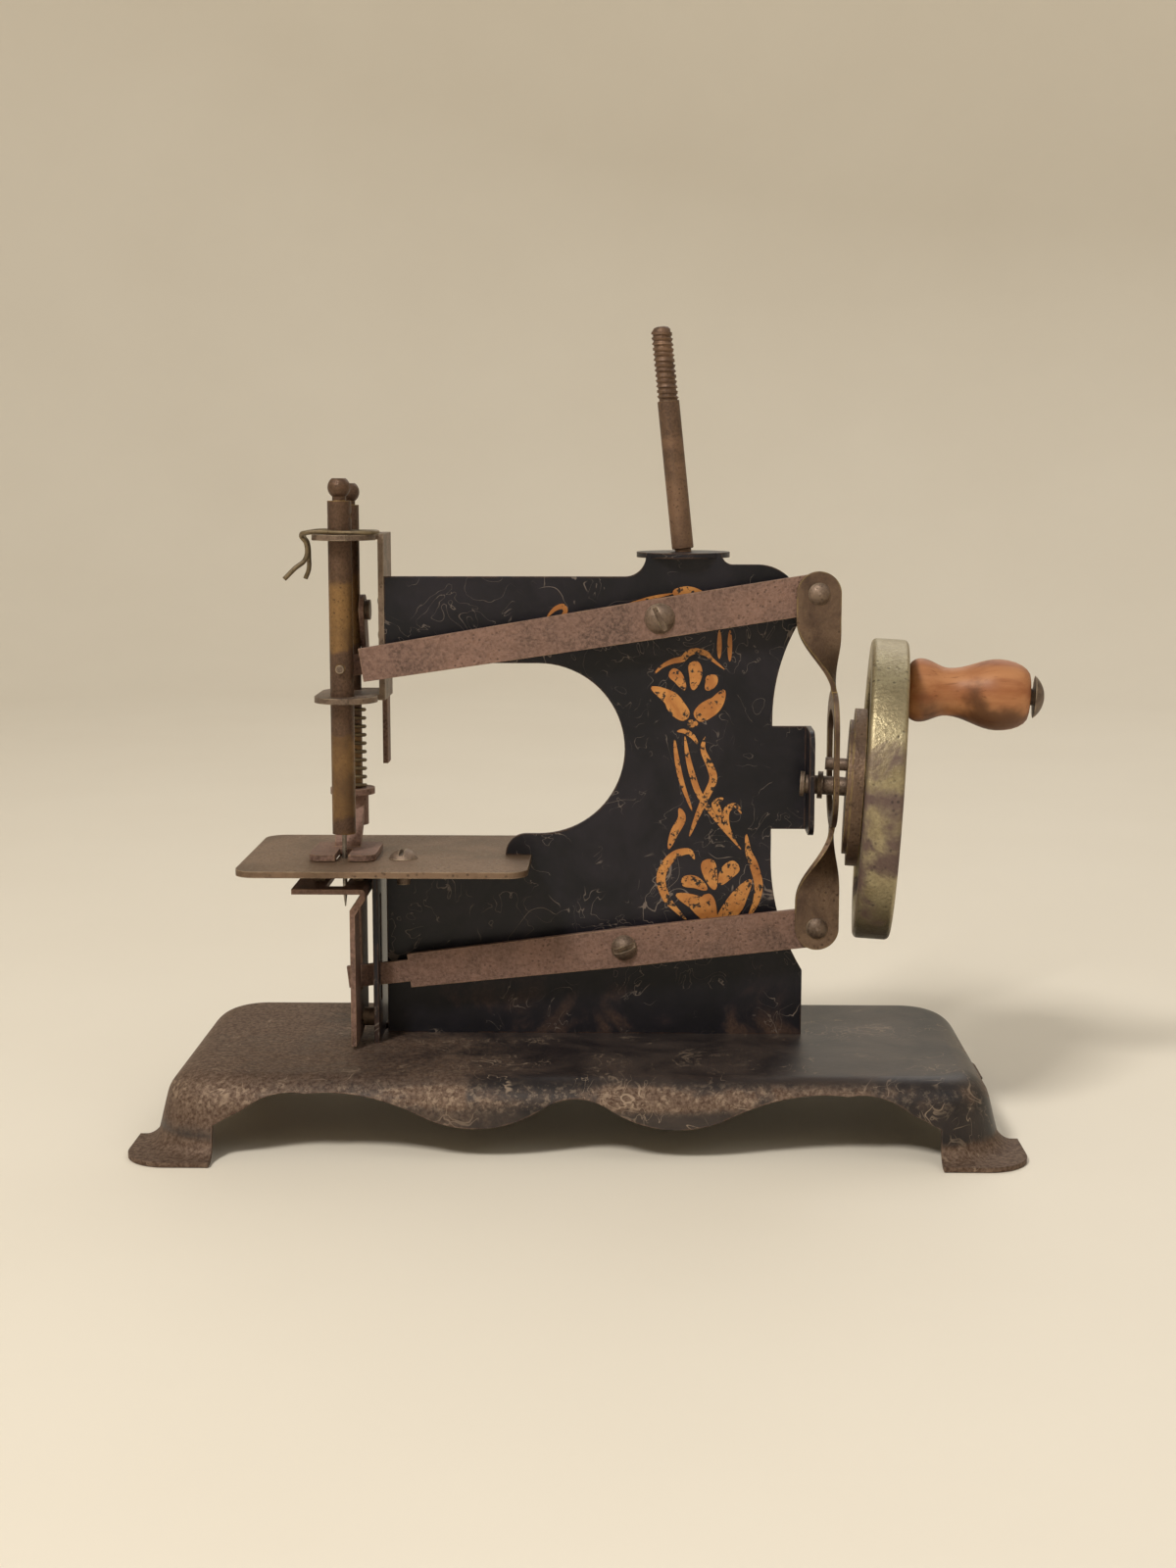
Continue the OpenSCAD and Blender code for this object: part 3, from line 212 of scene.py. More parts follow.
agedMetals = {
    "brownSteel": {"dark": "4c3a32", "light": "7a5d50", "fleck": "96786b", "fleckShare": 0.7,
                   "edge": "a08468", "edgeGain": 2.0, "fine": 1900, "broad": 70, "metal": 0.35,
                   "rough": (0.5, 0.72), "bump": 0.35},
    "bedSteel": {"dark": "52402f", "light": "7a6350", "fleck": "8a725d", "fleckShare": 0.4,
                 "edge": "a8957c", "edgeGain": 2.2, "fine": 1500, "broad": 55, "metal": 0.5,
                 "rough": (0.42, 0.62), "bump": 0.2},
    "fittingSteel": {"dark": "4d3f35", "light": "7d6a5b", "fleck": "8d7a6a", "fleckShare": 0.5,
                     "edge": "a89880", "edgeGain": 2.4, "fine": 2400, "broad": 200, "metal": 0.6,
                     "rough": (0.38, 0.6), "bump": 0.25},
    "strapBrass": {"dark": "4a3a31", "light": "7c6653", "fleck": "6a5342", "fleckShare": 0.45,
                   "edge": "a8925c", "edgeGain": 2.2, "fine": 1700, "broad": 110, "metal": 0.6,
                   "rough": (0.4, 0.62), "bump": 0.25},
    "barBronze": {"dark": "54402c", "light": "8a6a40", "fleck": "6c4e34", "fleckShare": 0.5,
                  "edge": "a8884e", "edgeGain": 1.6, "fine": 2100, "broad": 85, "metal": 0.55,
                  "rough": (0.38, 0.6), "bump": 0.2,
                  "brownFrom": ((0.104, 0.13), (0.0735, 0.0905), (0.0545, 0.0575))},
    "wireSteel": {"dark": "4c4031", "light": "75664e", "fleck": "8a7a5e", "fleckShare": 0.4,
                  "edge": "8a7a5e", "edgeGain": 0.5, "fine": 2600, "broad": 260, "metal": 0.65,
                  "rough": (0.36, 0.55), "bump": 0.15},
    "postSteel": {"dark": "48372e", "light": "765b48", "fleck": "86694f", "fleckShare": 0.45,
                  "edge": "9a7c5c", "edgeGain": 1.2, "fine": 2200, "broad": 120, "metal": 0.5,
                  "rough": (0.4, 0.6), "bump": 0.2},
    "needleSteel": {"dark": "6f6961", "light": "a59f95", "fleck": "8a8074", "fleckShare": 0.3,
                    "edge": "c0bab0", "edgeGain": 0.6, "fine": 2600, "broad": 300, "metal": 0.9,
                    "rough": (0.26, 0.42), "bump": 0.08},
}


metalWear = {"pit": "2b1e17", "pitShare": 0.6, "pitDepth": 1.5, "brownDark": "3d2d25", "brownLight": "614a3d",
             "brownShare": 0.85, "brownBlur": 0.8 * mm, "brownWander": 1.5 * mm, "rubRadius": 0.6 * mm,
             "rubBreak": 420.0, "rubShare": 0.75, "grainDepth": 0.2 * mm, "softEdge": 0.2 * mm}


def agedMetal(name):
    spec, wear = agedMetals[name], metalWear
    made, tree, shader, place = startMaterial(name)
    grain = useGroup(tree, agedGrain, Place=place, Fine=spec["fine"], Broad=spec["broad"])
    rub = useGroup(tree, edgeRub, Place=place, Radius=wear["rubRadius"], Break=wear["rubBreak"],
                   Gain=spec["edgeGain"])["Rub"]
    colour = blendColour(tree, grain["Patch"], tint(spec["dark"]), tint(spec["light"]))
    flecks = calc(tree, "MULTIPLY", grain["Speckle"], spec["fleckShare"])
    colour = blendColour(tree, flecks, colour, tint(spec["fleck"]))
    pitted = calc(tree, "MULTIPLY", grain["Pits"], wear["pitShare"])
    colour = blendColour(tree, pitted, colour, tint(wear["pit"]))
    blur, wander = wear["brownBlur"], wear["brownWander"]
    for low, high in spec.get("brownFrom", ()):
        tall = calc(tree, "ADD", addNode(tree, "ShaderNodeSeparateXYZ", Vector=place).outputs["Z"],
                    spread(tree, grain["Patch"], -wander, wander))
        zone = calc(tree, "MULTIPLY", fade(tree, tall, low - blur, low + blur),
                    fade(tree, tall, high + blur, high - blur))
        brown = blendColour(tree, grain["Speckle"], tint(wear["brownDark"]), tint(wear["brownLight"]))
        colour = blendColour(tree, calc(tree, "MULTIPLY", zone, wear["brownShare"]), colour, brown)
    colour = blendColour(tree, calc(tree, "MULTIPLY", rub, wear["rubShare"]), colour, tint(spec["edge"]))
    height = calc(tree, "SUBTRACT", grain["Speckle"], calc(tree, "MULTIPLY", grain["Pits"], wear["pitDepth"]))
    bump = softBump(tree, height, spec["bump"], wear["grainDepth"], wear["softEdge"])
    feed(tree, shader.inputs["Base Color"], colour)
    feed(tree, shader.inputs["Roughness"], spread(tree, grain["Speckle"], *spec["rough"]))
    feed(tree, shader.inputs["Normal"], bump.outputs[0])
    shader.inputs["Metallic"].default_value = spec["metal"]
    return made


finishes = {name: agedMetal(name) for name in agedMetals}


# the wheel's plating: brassy where it is clean, with purple-brown stains, and darker at the bottom of the rim with
# patina and painted shade

# deep is both the pit colour and the colour of the patina and painted shade at the bottom of the rim
wheelPlating = {"clean": "978a6c", "pale": "b0a483", "stain": "50393d", "deep": "2e2624",
                "speck": "6c6048", "rubbed": "b5a880", "stainScale": 75.0, "fine": 1500.0, "broad": 130.0,
                "stainTop": 5 * mm, "stainLow": -12 * mm, "stainBlur": (4 * mm, 5 * mm), "soot": -21 * mm,
                "sootBlur": 6 * mm}


def platedWheel():
    made, tree, shader, place = startMaterial("wheelPlating")
    spec = wheelPlating
    grain = useGroup(tree, agedGrain, Place=place, Fine=spec["fine"], Broad=spec["broad"])
    rub = useGroup(tree, edgeRub, Place=place, Radius=0.0008, Break=300.0, Gain=1.6)["Rub"]
    cloud = addNode(tree, "ShaderNodeTexNoise", Vector=place, Scale=spec["stainScale"], Detail=5.0,
                    Roughness=0.6, Distortion=0.8).outputs["Fac"]
    height = addNode(tree, "ShaderNodeSeparateXYZ", Vector=place).outputs["Z"]
    shaftHigh = joints["wheel_spin"]["pos_m"][2]
    top, bottom, soot = (shaftHigh + spec[name] for name in ("stainTop", "stainLow", "soot"))
    blurTop, blurLow = spec["stainBlur"]
    zone = calc(tree, "MULTIPLY", fade(tree, height, top, top - blurTop),
                fade(tree, height, bottom - blurLow, bottom))
    stain = fade(tree, calc(tree, "ADD", cloud, calc(tree, "MULTIPLY", zone, 0.2)), 0.52, 0.7)
    colour = blendColour(tree, grain["Patch"], tint(spec["clean"]), tint(spec["pale"]))
    colour = blendColour(tree, calc(tree, "MULTIPLY", grain["Speckle"], 0.4), colour, tint(spec["speck"]))
    colour = blendColour(tree, calc(tree, "MULTIPLY", stain, 0.85), colour, tint(spec["stain"]))
    # darker towards the bottom of the rim: patina together with painted shade
    patinaAndShade = calc(tree, "MULTIPLY", fade(tree, height, soot, soot - spec["sootBlur"]),
                 spread(tree, grain["Patch"], 0.45, 0.75))
    colour = blendColour(tree, patinaAndShade, colour, tint(spec["deep"]))
    colour = blendColour(tree, calc(tree, "MULTIPLY", grain["Pits"], 0.7), colour, tint(spec["deep"]))
    colour = blendColour(tree, calc(tree, "MULTIPLY", rub, 0.6), colour, tint(spec["rubbed"]))
    lift = calc(tree, "SUBTRACT", grain["Speckle"], grain["Pits"])
    bump = softBump(tree, lift, 0.25, 0.2 * mm, 0.4 * mm)
    feed(tree, shader.inputs["Base Color"], colour)
    feed(tree, shader.inputs["Metallic"], fade(tree, stain, 0.0, 1.0, 0.75, 0.3))
    feed(tree, shader.inputs["Roughness"], spread(tree, stain, 0.36, 0.6))
    feed(tree, shader.inputs["Normal"], bump.outputs[0])
    return made


finishes["wheelPlating"] = platedWheel()


# black japan: lacquer with hairline squiggles, rubbed through to brown metal

japans = {
    "japanPlate": {"black": "101016", "haze": "211e25", "scratch": "7a6e66", "bare": "6a5140",
                   "hairScale": 150.0, "hairWidth": 0.007, "hairCover": 0.47, "markScale": 90.0,
                   "markWidth": 0.009, "markCover": 0.53, "rubGain": 2.4, "base": False},
    "japanBase": {"black": "1f1b1c", "haze": "3d3531", "scratch": "a08c78", "bare": "7b6758",
                  "hairScale": 120.0, "hairWidth": 0.006, "hairCover": 0.52, "markScale": 150.0,
                  "markWidth": 0.02, "markCover": 0.53, "rubGain": 3.2, "base": True},
}


# heights and lengths on the base and the plate between which the wear fades in
japanZones = {"film": (20 * mm, -85 * mm), "filmLow": (3 * mm, 8 * mm), "filmShare": 0.85,
              "toes": (5.2 * mm, 1.8 * mm), "bandLow": (7.8 * mm, 10.6 * mm),
              "bandHigh": (14.1 * mm, 12.2 * mm), "bandEnd": (75 * mm, 0.0),
              "plateFoot": (30 * mm, 14.5 * mm), "dustScale": 420.0, "chafeScale": 900.0,
              "under": "4c382c"}


def wornJapan(name):
    spec, zone = japans[name], japanZones
    made, tree, shader, place = startMaterial(name)
    grain = useGroup(tree, agedGrain, Place=place, Fine=1400.0, Broad=60.0)
    rub = useGroup(tree, edgeRub, Place=place, Radius=0.0007, Break=260.0, Gain=spec["rubGain"])["Rub"]
    hair = useGroup(tree, squiggleMarks, Place=place, Scale=spec["hairScale"],
                    Width=spec["hairWidth"], Cover=spec["hairCover"])["Marks"]
    marks = useGroup(tree, squiggleMarks, Place=place, Scale=spec["markScale"],
                     Width=spec["markWidth"], Cover=spec["markCover"])["Marks"]
    part = addNode(tree, "ShaderNodeSeparateXYZ", Vector=place).outputs
    bare = rub
    if spec["base"]:
        # brown film on the left end, bare toes, and a rubbed band along the shoulder
        film = calc(tree, "MULTIPLY", fade(tree, part["X"], *zone["film"]),
                    fade(tree, part["Z"], *zone["filmLow"]))
        dust = addNode(tree, "ShaderNodeTexNoise", Vector=place, Scale=zone["dustScale"], Detail=6.0,
                       Roughness=0.7).outputs["Fac"]
        toes = fade(tree, part["Z"], *zone["toes"])
        band = calc(tree, "MULTIPLY", fade(tree, part["Z"], *zone["bandLow"]),
                    fade(tree, part["Z"], *zone["bandHigh"]))
        band = calc(tree, "MULTIPLY", band, fade(tree, part["X"], *zone["bandEnd"], 0.4, 1.0))
        chafe = addNode(tree, "ShaderNodeTexNoise", Vector=place, Scale=zone["chafeScale"], Detail=5.0,
                        Roughness=0.7).outputs["Fac"]
        chafed = calc(tree, "MULTIPLY", calc(tree, "MULTIPLY", band, fade(tree, chafe, 0.5, 0.62)),
                      fade(tree, grain["Patch"], 0.0, 1.0, 0.5, 1.0))
        uneven = calc(tree, "MULTIPLY", band, fade(tree, grain["Patch"], 0.0, 1.0, 0.4, 1.0))
        worst = calc(tree, "MAXIMUM", calc(tree, "MULTIPLY", film, zone["filmShare"]),
                     calc(tree, "MAXIMUM", toes, uneven))
        marks = calc(tree, "MAXIMUM", calc(tree, "MULTIPLY", chafed, 0.75),
                     calc(tree, "MULTIPLY", marks, fade(tree, band, 0.0, 1.0, 0.35, 0.9)))
        cloudy = calc(tree, "ADD", calc(tree, "MULTIPLY", grain["Patch"], 0.3),
                      calc(tree, "MULTIPLY", dust, 0.55))
        dusty = calc(tree, "ADD", worst, cloudy)
        bare = calc(tree, "MAXIMUM", rub, fade(tree, dusty, 0.48, 1.25))
    else:
        foot = calc(tree, "MULTIPLY", fade(tree, part["Z"], *zone["plateFoot"]),
                    fade(tree, grain["Patch"], 0.4, 1.0))
        bare = calc(tree, "MAXIMUM", rub, calc(tree, "MULTIPLY", foot, 0.5))
    colour = blendColour(tree, grain["Patch"], tint(spec["black"]), tint(spec["haze"]))
    scratches = calc(tree, "MAXIMUM", calc(tree, "MULTIPLY", hair, 0.55),
                     calc(tree, "MULTIPLY", marks, 0.8))
    metal = blendColour(tree, grain["Speckle"], tint(zone["under"]), tint(spec["bare"]))
    colour = blendColour(tree, calc(tree, "MULTIPLY", bare, 0.9), colour, metal)
    colour = blendColour(tree, scratches, colour, tint(spec["scratch"]))
    worn = calc(tree, "MAXIMUM", bare, calc(tree, "MULTIPLY", scratches, 0.7))
    height = calc(tree, "SUBTRACT", calc(tree, "MULTIPLY", grain["Speckle"], 0.25), worn)
    bump = softBump(tree, height, 0.22, 0.15 * mm, 0.25 * mm)
    feed(tree, shader.inputs["Base Color"], colour)
    feed(tree, shader.inputs["Roughness"], spread(tree, worn, 0.4, 0.66))
    feed(tree, shader.inputs["Metallic"], calc(tree, "MULTIPLY", bare, 0.35))
    feed(tree, shader.inputs["Coat Weight"], spread(tree, worn, 0.08, 0.0))
    feed(tree, shader.inputs["Normal"], bump.outputs[0])
    shader.inputs["Coat Roughness"].default_value = 0.25
    shader.inputs["Specular IOR Level"].default_value = 0.25
    return made


for japanName in japans:
    finishes[japanName] = wornJapan(japanName)


# turned wood of the handle, grain along its length

handleWood = {"pale": "b07a50", "deep": "925a36", "dark": "3a2416", "pore": "70401f", "along": 38.0,
              "across": 420.0, "tilt": joints["handle_spin"]["axis"], "soil": (84.2 * mm, 77.5 * mm)}


def turnedWood():
    made, tree, shader, place = startMaterial("turnedWood")
    spec = handleWood
    turn = Vector(spec["tilt"]).rotation_difference(Vector((1, 0, 0))).to_euler()
    lined = addNode(tree, "ShaderNodeMapping", Vector=place, Rotation=turn,
                    Scale=(spec["along"], spec["across"], spec["across"])).outputs[0]
    bands = addNode(tree, "ShaderNodeTexNoise", Vector=lined, Scale=0.6, Detail=6.0,
                    Roughness=0.6).outputs["Fac"]
    pores = addNode(tree, "ShaderNodeTexNoise", Vector=lined, Scale=4.0, Detail=3.0).outputs["Fac"]
    soil = addNode(tree, "ShaderNodeTexNoise", Vector=place, Scale=130.0, Detail=5.0).outputs["Fac"]
    # dark blotches, with more of them towards the bottom of the handle
    low = fade(tree, addNode(tree, "ShaderNodeSeparateXYZ", Vector=place).outputs["Z"], *spec["soil"])
    darkenMask = fade(tree, calc(tree, "ADD", soil, calc(tree, "MULTIPLY", low, 0.25)), 0.52, 0.8)
    colour = blendColour(tree, fade(tree, bands, 0.35, 0.65), tint(spec["deep"]), tint(spec["pale"]))
    colour = blendColour(tree, fade(tree, pores, 0.6, 0.75, 0.0, 0.6), colour, tint(spec["pore"]))
    colour = blendColour(tree, calc(tree, "MULTIPLY", darkenMask, 0.75), colour, tint(spec["dark"]))
    bump = addNode(tree, "ShaderNodeBump", Height=pores, Strength=0.12, Distance=0.0003)
    feed(tree, shader.inputs["Base Color"], colour)
    feed(tree, shader.inputs["Roughness"], spread(tree, pores, 0.46, 0.62))
    feed(tree, shader.inputs["Coat Weight"], spread(tree, darkenMask, 0.12, 0.02))
    feed(tree, shader.inputs["Normal"], bump.outputs[0])
    shader.inputs["Specular IOR Level"].default_value = 0.3
    shader.inputs["Coat Roughness"].default_value = 0.35
    return made


finishes["turnedWood"] = turnedWood()


# printed ornament, chipped so that the lacquer shows through

printPaint = {"pale": "c48846", "deep": "a5672f", "lacquer": "171314", "chip": 900.0}


def chippedPrint():
    made, tree, shader, place = startMaterial("ornamentPaint")
    spec = printPaint
    grain = useGroup(tree, agedGrain, Place=place, Fine=spec["chip"], Broad=240.0)
    flaw = addNode(tree, "ShaderNodeTexNoise", Vector=place, Scale=spec["chip"], Detail=4.0,
                   Roughness=0.7).outputs["Fac"]
    gone = fade(tree, calc(tree, "ADD", flaw, calc(tree, "MULTIPLY", grain["Patch"], 0.12)), 0.60, 0.68)
    colour = blendColour(tree, grain["Patch"], tint(spec["deep"]), tint(spec["pale"]))
    colour = blendColour(tree, gone, colour, tint(spec["lacquer"]))
    feed(tree, shader.inputs["Base Color"], colour)
    feed(tree, shader.inputs["Roughness"], spread(tree, grain["Speckle"], 0.42, 0.6))
    return made


finishes["ornamentPaint"] = chippedPrint()
print("finishes built:", len(finishes))


# the CAD pieces keep their shapes and take these finishes

wearers = {
    "japanBase": ["base"],
    "japanPlate": ["body_plate", "feed_bracket"],
    "brownSteel": ["upper_lever", "lower_lever", "presser_lifter", "feed_arm", "presser_foot",
                   "spring_seat"],
    "bedSteel": ["cloth_plate"],
    "fittingSteel": ["pivot_screws", "pivot_spacers", "pivot_nuts", "head_rivets", "feed_bracket_rivet",
                     "feed_pivot_pin", "lifter_screw", "head_bracket", "needle_bar_pin",
                     "cloth_plate_screw", "shaft_collar", "feed_dogs", "crank_shaft", "crank_pin",
                     "handle_spindle", "link_rivets"],
    "strapBrass": ["crank_disc"],
    "wheelPlating": ["flywheel"],
    "barBronze": ["needle_bar", "presser_bar"],
    "needleSteel": ["needle"],
    "turnedWood": ["crank_handle"],
}
smoothing = {"join": 1e-6, "sharpAbove": math.radians(32)}


def makeTree(name, inputs):
    tree = bpy.data.node_groups.new(name, "GeometryNodeTree")
    tree.interface.new_socket("Geometry", in_out="INPUT", socket_type="NodeSocketGeometry")
    for label, kind, value in inputs:
        socket = tree.interface.new_socket(label, in_out="INPUT", socket_type="NodeSocket" + kind)
        if value is not None:
            socket.default_value = value
    tree.interface.new_socket("Geometry", in_out="OUTPUT", socket_type="NodeSocketGeometry")
    return tree, tree.nodes.new("NodeGroupInput").outputs, tree.nodes.new("NodeGroupOutput").inputs


def wearTree(piece, tree, **values):
    modifier = piece.modifiers.new(tree.name, "NODES")
    modifier.node_group = tree
    for item in tree.interface.items_tree:
        if item.in_out == "INPUT" and item.name in values:
            modifier[item.identifier] = values[item.name]
    return modifier


def buildSmoothing():
    tree, given, out = makeTree("softShading", [("Join", "Float", 1e-6), ("Sharp Above", "Float", 0.5)])
    joined = addNode(tree, "GeometryNodeMergeByDistance", Geometry=given["Geometry"], Distance=given["Join"])
    smooth = addNode(tree, "GeometryNodeSetShadeSmooth", {"domain": "FACE"}, Geometry=joined.outputs[0])
    angle = addNode(tree, "GeometryNodeInputMeshEdgeAngle").outputs["Unsigned Angle"]
    under = addNode(tree, "FunctionNodeCompare", {"data_type": "FLOAT", "operation": "LESS_THAN"})
    feed(tree, under.inputs[0], angle)
    feed(tree, under.inputs[1], given["Sharp Above"])
    edges = addNode(tree, "GeometryNodeSetShadeSmooth", {"domain": "EDGE"}, Geometry=smooth.outputs[0])
    tree.links.new(under.outputs[0], edges.inputs["Shade Smooth"])
    tree.links.new(edges.outputs[0], out["Geometry"])
    return tree


softShading = buildSmoothing()
for finish, wearing in wearers.items():
    for name in wearing:
        piece = nodes[name]
        piece.data.materials.clear()
        piece.data.materials.append(finishes[finish])
        wearTree(piece, softShading, **{"Join": smoothing["join"], "Sharp Above": smoothing["sharpAbove"]})
print("finishes given to", sum(len(w) for w in wearers.values()), "pieces")


# helpers for new pieces

def newPiece(name, mesh, finish, body, stands=()):
    piece = bpy.data.objects.new(name, mesh)
    bpy.context.scene.collection.objects.link(piece)
    mesh.materials.clear()
    mesh.materials.append(finishes[finish])
    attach(piece, body)
    if stands:
        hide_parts(*stands)
    return piece


def meshFromTree(name, tree, **values):
    carrier = bpy.data.objects.new(name + "Carrier", bpy.data.meshes.new(name + "Start"))
    bpy.context.scene.collection.objects.link(carrier)
    wearTree(carrier, tree, **values)
    bpy.context.view_layer.update()
    made = bpy.data.meshes.new_from_object(carrier.evaluated_get(bpy.context.evaluated_depsgraph_get()))
    made.name = name
    bpy.data.objects.remove(carrier)
    return made


def smoothFaces(mesh):
    mesh.polygons.foreach_set("use_smooth", [True] * len(mesh.polygons))


# wound wire and cut threads are one helix tree

def buildHelix():
    tree, given, out = makeTree("woundHelix", [
        ("Turns", "Float", 10.0), ("Radius", "Float", 0.003), ("Height", "Float", 0.02),
        ("Wire", "Float", 0.0004), ("Steps", "Int", 24), ("Sides", "Int", 10), ("Finish", "Material", None)])
    spiral = addNode(tree, "GeometryNodeCurveSpiral", Resolution=given["Steps"], Rotations=given["Turns"],
                     Start_Radius=given["Radius"], End_Radius=given["Radius"], Height=given["Height"])
    wire = addNode(tree, "GeometryNodeCurvePrimitiveCircle", Resolution=given["Sides"], Radius=given["Wire"])
    swept = addNode(tree, "GeometryNodeCurveToMesh", Curve=spiral.outputs[0],
                    Profile_Curve=wire.outputs[0], Fill_Caps=True)
    real = addNode(tree, "GeometryNodeRealizeInstances", Geometry=swept.outputs[0])
    done = addNode(tree, "GeometryNodeSetMaterial", Geometry=real.outputs[0], Material=given["Finish"])
    tree.links.new(done.outputs[0], out["Geometry"])
    return tree


woundHelix = buildHelix()

springWire = {"turns": 10.5, "wire": 0.38 * mm, "steps": 32, "sides": 10}
springLow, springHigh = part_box("presser_spring")
springMid = (springLow + springHigh) / 2
springOut = (springHigh.x - springLow.x) / 2
coil = meshFromTree("presserSpringCoil", woundHelix, Turns=springWire["turns"],
                    Radius=springOut - springWire["wire"], Wire=springWire["wire"],
                    Height=springHigh.z - springLow.z - 2 * springWire["wire"],
                    Steps=springWire["steps"], Sides=springWire["sides"], Finish=finishes["wireSteel"])
coil.transform(Matrix.Translation((springMid.x, springMid.y, springLow.z + springWire["wire"])))
smoothFaces(coil)
spring = newPiece("presserSpringCoil", coil, "wireSteel", "frame", ["presser_spring"])
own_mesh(spring)
print("presser spring wound")


# round and bent pieces

def turnedMesh(name, profile, sides):
    shape = bmesh.new()
    rings = []
    for radius, height in profile:
        count = sides if radius else 1
        angles = [2 * math.pi * i / sides for i in range(count)]
        rings.append([shape.verts.new((radius * math.cos(a), radius * math.sin(a), height)) for a in angles])
    for below, above in zip(rings, rings[1:]):
        for i in range(sides):
            around = [below[i % len(below)], below[(i + 1) % len(below)],
                      above[(i + 1) % len(above)], above[i % len(above)]]
            shape.faces.new(list(dict.fromkeys(around)))
    bmesh.ops.recalc_face_normals(shape, faces=shape.faces)
    made = bpy.data.meshes.new(name)
    shape.to_mesh(made)
    shape.free()
    return made


def joinMeshes(name, meshes):
    shape = bmesh.new()
    for mesh in meshes:
        shape.from_mesh(mesh)
    made = bpy.data.meshes.new(name)
    shape.to_mesh(made)
    shape.free()
    return made


def sharpen(mesh, above):
    smoothFaces(mesh)
    mesh.set_sharp_from_angle(angle=above)


def bentWire(name, points, radius):
    curve = bpy.data.curves.new(name, "CURVE")
    curve.dimensions = "3D"
    curve.bevel_depth, curve.bevel_resolution, curve.resolution_u = radius, 4, 8
    curve.use_fill_caps = True
    spline = curve.splines.new("BEZIER")
    spline.bezier_points.add(len(points) - 1)
    for bend, point in zip(spline.bezier_points, points):
        bend.co = Vector(point) * mm
        bend.handle_left_type = bend.handle_right_type = "AUTO"
    carrier = bpy.data.objects.new(name, curve)
    bpy.context.scene.collection.objects.link(carrier)
    bpy.context.view_layer.update()
    made = bpy.data.meshes.new_from_object(carrier.evaluated_get(bpy.context.evaluated_depsgraph_get()))
    bpy.data.objects.remove(carrier)
    shape = bmesh.new()
    shape.from_mesh(made)
    bmesh.ops.remove_doubles(shape, verts=shape.verts, dist=1e-7)
    bmesh.ops.recalc_face_normals(shape, faces=shape.faces)
    shape.to_mesh(made)
    shape.free()
    return made


# spool post: shouldered pin with a cut thread at its top and a nut under the tab

spoolPost = {"footRadius": 1.6 * mm, "footLength": 2.6 * mm, "shoulder": 0.15 * mm, "core": 1.72 * mm,
             "threadLength": 14 * mm, "pitch": 1 * mm, "ridge": 0.36 * mm, "dome": 0.7 * mm,
             "nutRadius": 3.4 * mm, "nutHeight": 2.2 * mm, "nutBevel": 0.35 * mm, "sides": 40,
             "sharp": math.radians(38)}


def buildSpoolPost():
    spec = spoolPost
    mount = next(m for m in frame["record"]["mounts"] if m["name"] == "spool_post")
    radius, half = mount["dims"]["r_mm"] * mm, mount["dims"]["length_mm"] * mm / 2
    top = half + spec["threadLength"]
    profile = [(0, -half - spec["footLength"]), (spec["footRadius"], -half - spec["footLength"]),
               (spec["footRadius"], -half), (radius - spec["shoulder"], -half),
               (radius, -half + spec["shoulder"]),
               (radius, half - spec["shoulder"]), (spec["core"], half), (spec["core"], top - spec["dome"]),
               (spec["core"] * 0.8, top - spec["dome"] * 0.35),
               (spec["core"] * 0.4, top - spec["dome"] * 0.08), (0, top)]
    pin = turnedMesh("spoolPin", profile, spec["sides"])
    run = spec["threadLength"] - spec["dome"] - 2 * spec["ridge"]
    thread = meshFromTree("spoolThread", woundHelix, Turns=run / spec["pitch"], Radius=spec["core"],
                          Wire=spec["ridge"], Height=run, Steps=28, Sides=4, Finish=finishes["postSteel"])
    thread.transform(Matrix.Translation((0, 0, half + spec["ridge"])))
    whole = joinMeshes("spoolPost", [pin, thread])
    lean = Vector((0, 0, 1)).rotation_difference(Vector(mount["axis"])).to_matrix().to_4x4()
    whole.transform(Matrix.Translation(mount["pos_m"]) @ lean)
    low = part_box("spool_pin")[0].z
    base = Vector(mount["pos_m"]) - Vector(mount["axis"]) * (half + spec["footLength"] * 0.25)
    high, wide, bevel = spec["nutHeight"], spec["nutRadius"], spec["nutBevel"]
    nut = turnedMesh("spoolNut", [(0, 0), (wide - bevel, 0), (wide, bevel), (wide, high - bevel),
                                  (wide - bevel, high), (0, high)], 6)
    nut.transform(Matrix.Translation((base.x, base.y, low)))
    made = joinMeshes("spoolPost", [whole, nut])
    sharpen(made, spec["sharp"])
    newPiece("spoolPostTurned", made, "postSteel", "frame", ["spool_pin"])


buildSpoolPost()
print("spool post turned")


# thread guide: one bent wire, points in the part's own drawing, set where its solid is;
# a point without a height lies on the flat run at "rise"

threadGuide = {"radius": 0.45 * mm, "rise": 112.57, "points": [
    (-55.6, -5.6, 103.8), (-53.6, -5.4, 105.8), (-51.6, -5.1, 107.6), (-51.4, -5.1, 110.5),
    (-52.2, -5.8, 112), (-51, -7.2, None), (-44, -7.4, None), (-40.2, -7.2, None),
    (-38.4, -5.8, None), (-38.4, -2.6, None),
    (-40.2, -1.2, None), (-44, -1, None), (-51, -1.2, None), (-52.2, -2.6, 112), (-51.4, -3.3, 110.5),
    (-51.2, -3.3, 107.6), (-51.3, -3, 105.6), (-52, -2.8, 103.8)]}


def meshBox(mesh):
    spots = [v.co for v in mesh.vertices]
    return (Vector([min(s[i] for s in spots) for i in range(3)]),
            Vector([max(s[i] for s in spots) for i in range(3)]))


